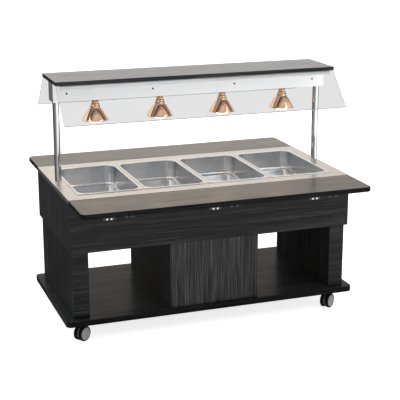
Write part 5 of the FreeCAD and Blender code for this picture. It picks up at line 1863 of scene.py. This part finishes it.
@dataclass
class Controls:
    """Thermostat knob, rocker switch, pilot light, plate and cable gland on the right end."""

    plate_ease: float = 0.0005
    proud: float = 0.002
    knob_gap: float = 0.0003
    knob_radius: float = 0.020
    skirt_radius: float = 0.024
    skirt: float = 0.004
    shaft_radius: float = 0.003
    flutes: int = 24
    flute_depth: float = 0.0011
    flute_reach: float = 0.0012
    crown_drop: float = 0.0015
    pointer_height: float = 0.0015
    pointer_root: float = 0.001
    pointer_half: float = 0.0013
    pointer_start: float = 0.004
    pointer_ease: float = 0.0004
    key_ease: float = 0.0006
    mark_radius: float = 0.031
    marks: int = 11
    mark_sizes: Point = (0.0006, 0.0016)
    print_height: float = 0.00015
    lens_barrel: tuple = (
        (0.0, 0.0), (0.0047, 0.0), (0.0047, 0.002), (0.007, 0.002), (0.007, 0.0045),
    )
    lens_round: float = 0.0035

    def plate(self) -> None:
        """Control plate with the dial's growing marks, clockwise from the top round the knob."""
        bench = Bench("control_plate", [STEEL_Y, PRINT_DARK])
        bench.copied("control_panel", self.plate_ease)
        low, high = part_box("thermostat_knob")
        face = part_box("control_panel")[1].x - self.proud
        smallest, largest = self.mark_sizes
        for index in range(self.marks):
            share = index / (self.marks - 1)
            angle = math.radians(90 - 270 * share)
            y, z = self.mark_radius * math.cos(angle), self.mark_radius * math.sin(angle)
            place = Vector((face, y, (low.z + high.z) / 2 + z))
            size = smallest + (largest - smallest) * share
            bench.disc(size, place, place + RIGHT * self.print_height, 0.0, 16, 1)
        bench.finished("control_panel")

    def knob(self) -> None:
        """Fluted knob with a skirt and a raised pointer."""
        low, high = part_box("thermostat_knob")
        z = (low.z + high.z) / 2
        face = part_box("control_panel")[1].x - self.proud + self.knob_gap
        bench = Bench("fluted_knob", [BLACK_PLASTIC, PRINT_WHITE])
        base = Vector((face, 0.0, z))
        top = high.x - self.pointer_height - face
        outer, inner = self.skirt_radius, self.knob_radius
        outline = [(0.0, 0.0), (outer, 0.0), (outer, self.skirt * 0.7)]
        outline += [(outer * 0.94, self.skirt), (inner, self.skirt)]
        outline += [(inner * 0.97, top - self.crown_drop), (inner * 0.9, top), (0.0, top)]
        made = bench.turned(outline, base, RIGHT, self.flutes * 4)
        wall = {v for f in made for v in f.verts if v.co.x - face > self.skirt * 0.9}
        for vert in wall:
            spoke = Vector((0.0, vert.co.y, vert.co.z - z))
            if abs(spoke.length - inner) < self.flute_reach:
                turn = math.atan2(spoke.z, spoke.y)
                dip = self.flute_depth * (0.5 + 0.5 * math.cos(turn * self.flutes))
                vec = -spoke.normalized() * dip
                bmesh.ops.translate(bench.mesh, vec=vec, verts=[vert])
        pointer = Extent(
            Vector((face + top - self.pointer_root, -self.pointer_half, z + self.pointer_start)),
            Vector((high.x, self.pointer_half, z + inner * 0.86)),
        )
        bench.block(pointer, self.pointer_ease, 1)
        bench.disc(self.shaft_radius, Vector((low.x, 0.0, z)), base, 0.0, 20)
        bench.finished("thermostat_knob")

    def pilot(self) -> None:
        """Amber lens of the pilot light."""
        low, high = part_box("pilot_light")
        extent = Extent(low, high)
        bench = Bench("pilot_lens", [PILOT_AMBER])
        radius, height = self.lens_round, self.lens_barrel[-1][1]
        dome = arc((radius, height), radius, 0, 90)[1:]
        outline = [*self.lens_barrel, *dome, (0.0, extent.size.x)]
        bench.turned(outline, extent.at(x=low.x), RIGHT, 40)
        bench.finished("pilot_light")

    def build(self) -> None:
        """Make the controls."""
        self.plate()
        self.knob()
        eased("rocker_switch", "rocker_key", SWITCH_GREEN, self.key_ease)
        self.pilot()
        eased("cable_gland", "gland_nuts", BLACK_PLASTIC, self.plate_ease)


def main() -> None:
    """Build the studio and every sub-assembly in order."""
    logging.basicConfig(level=logging.INFO, format="%(message)s")
    Studio().build()
    lower = (Cabinetry, Worktop)
    upper = (Canopy, HeatLamps, FoldingShelves, Casters, DoorFittings, Controls)
    for assembly in lower + upper:
        assembly().build()
        LOG.info("%s is built", assembly.__name__)


if __name__ == "__main__":
    main()
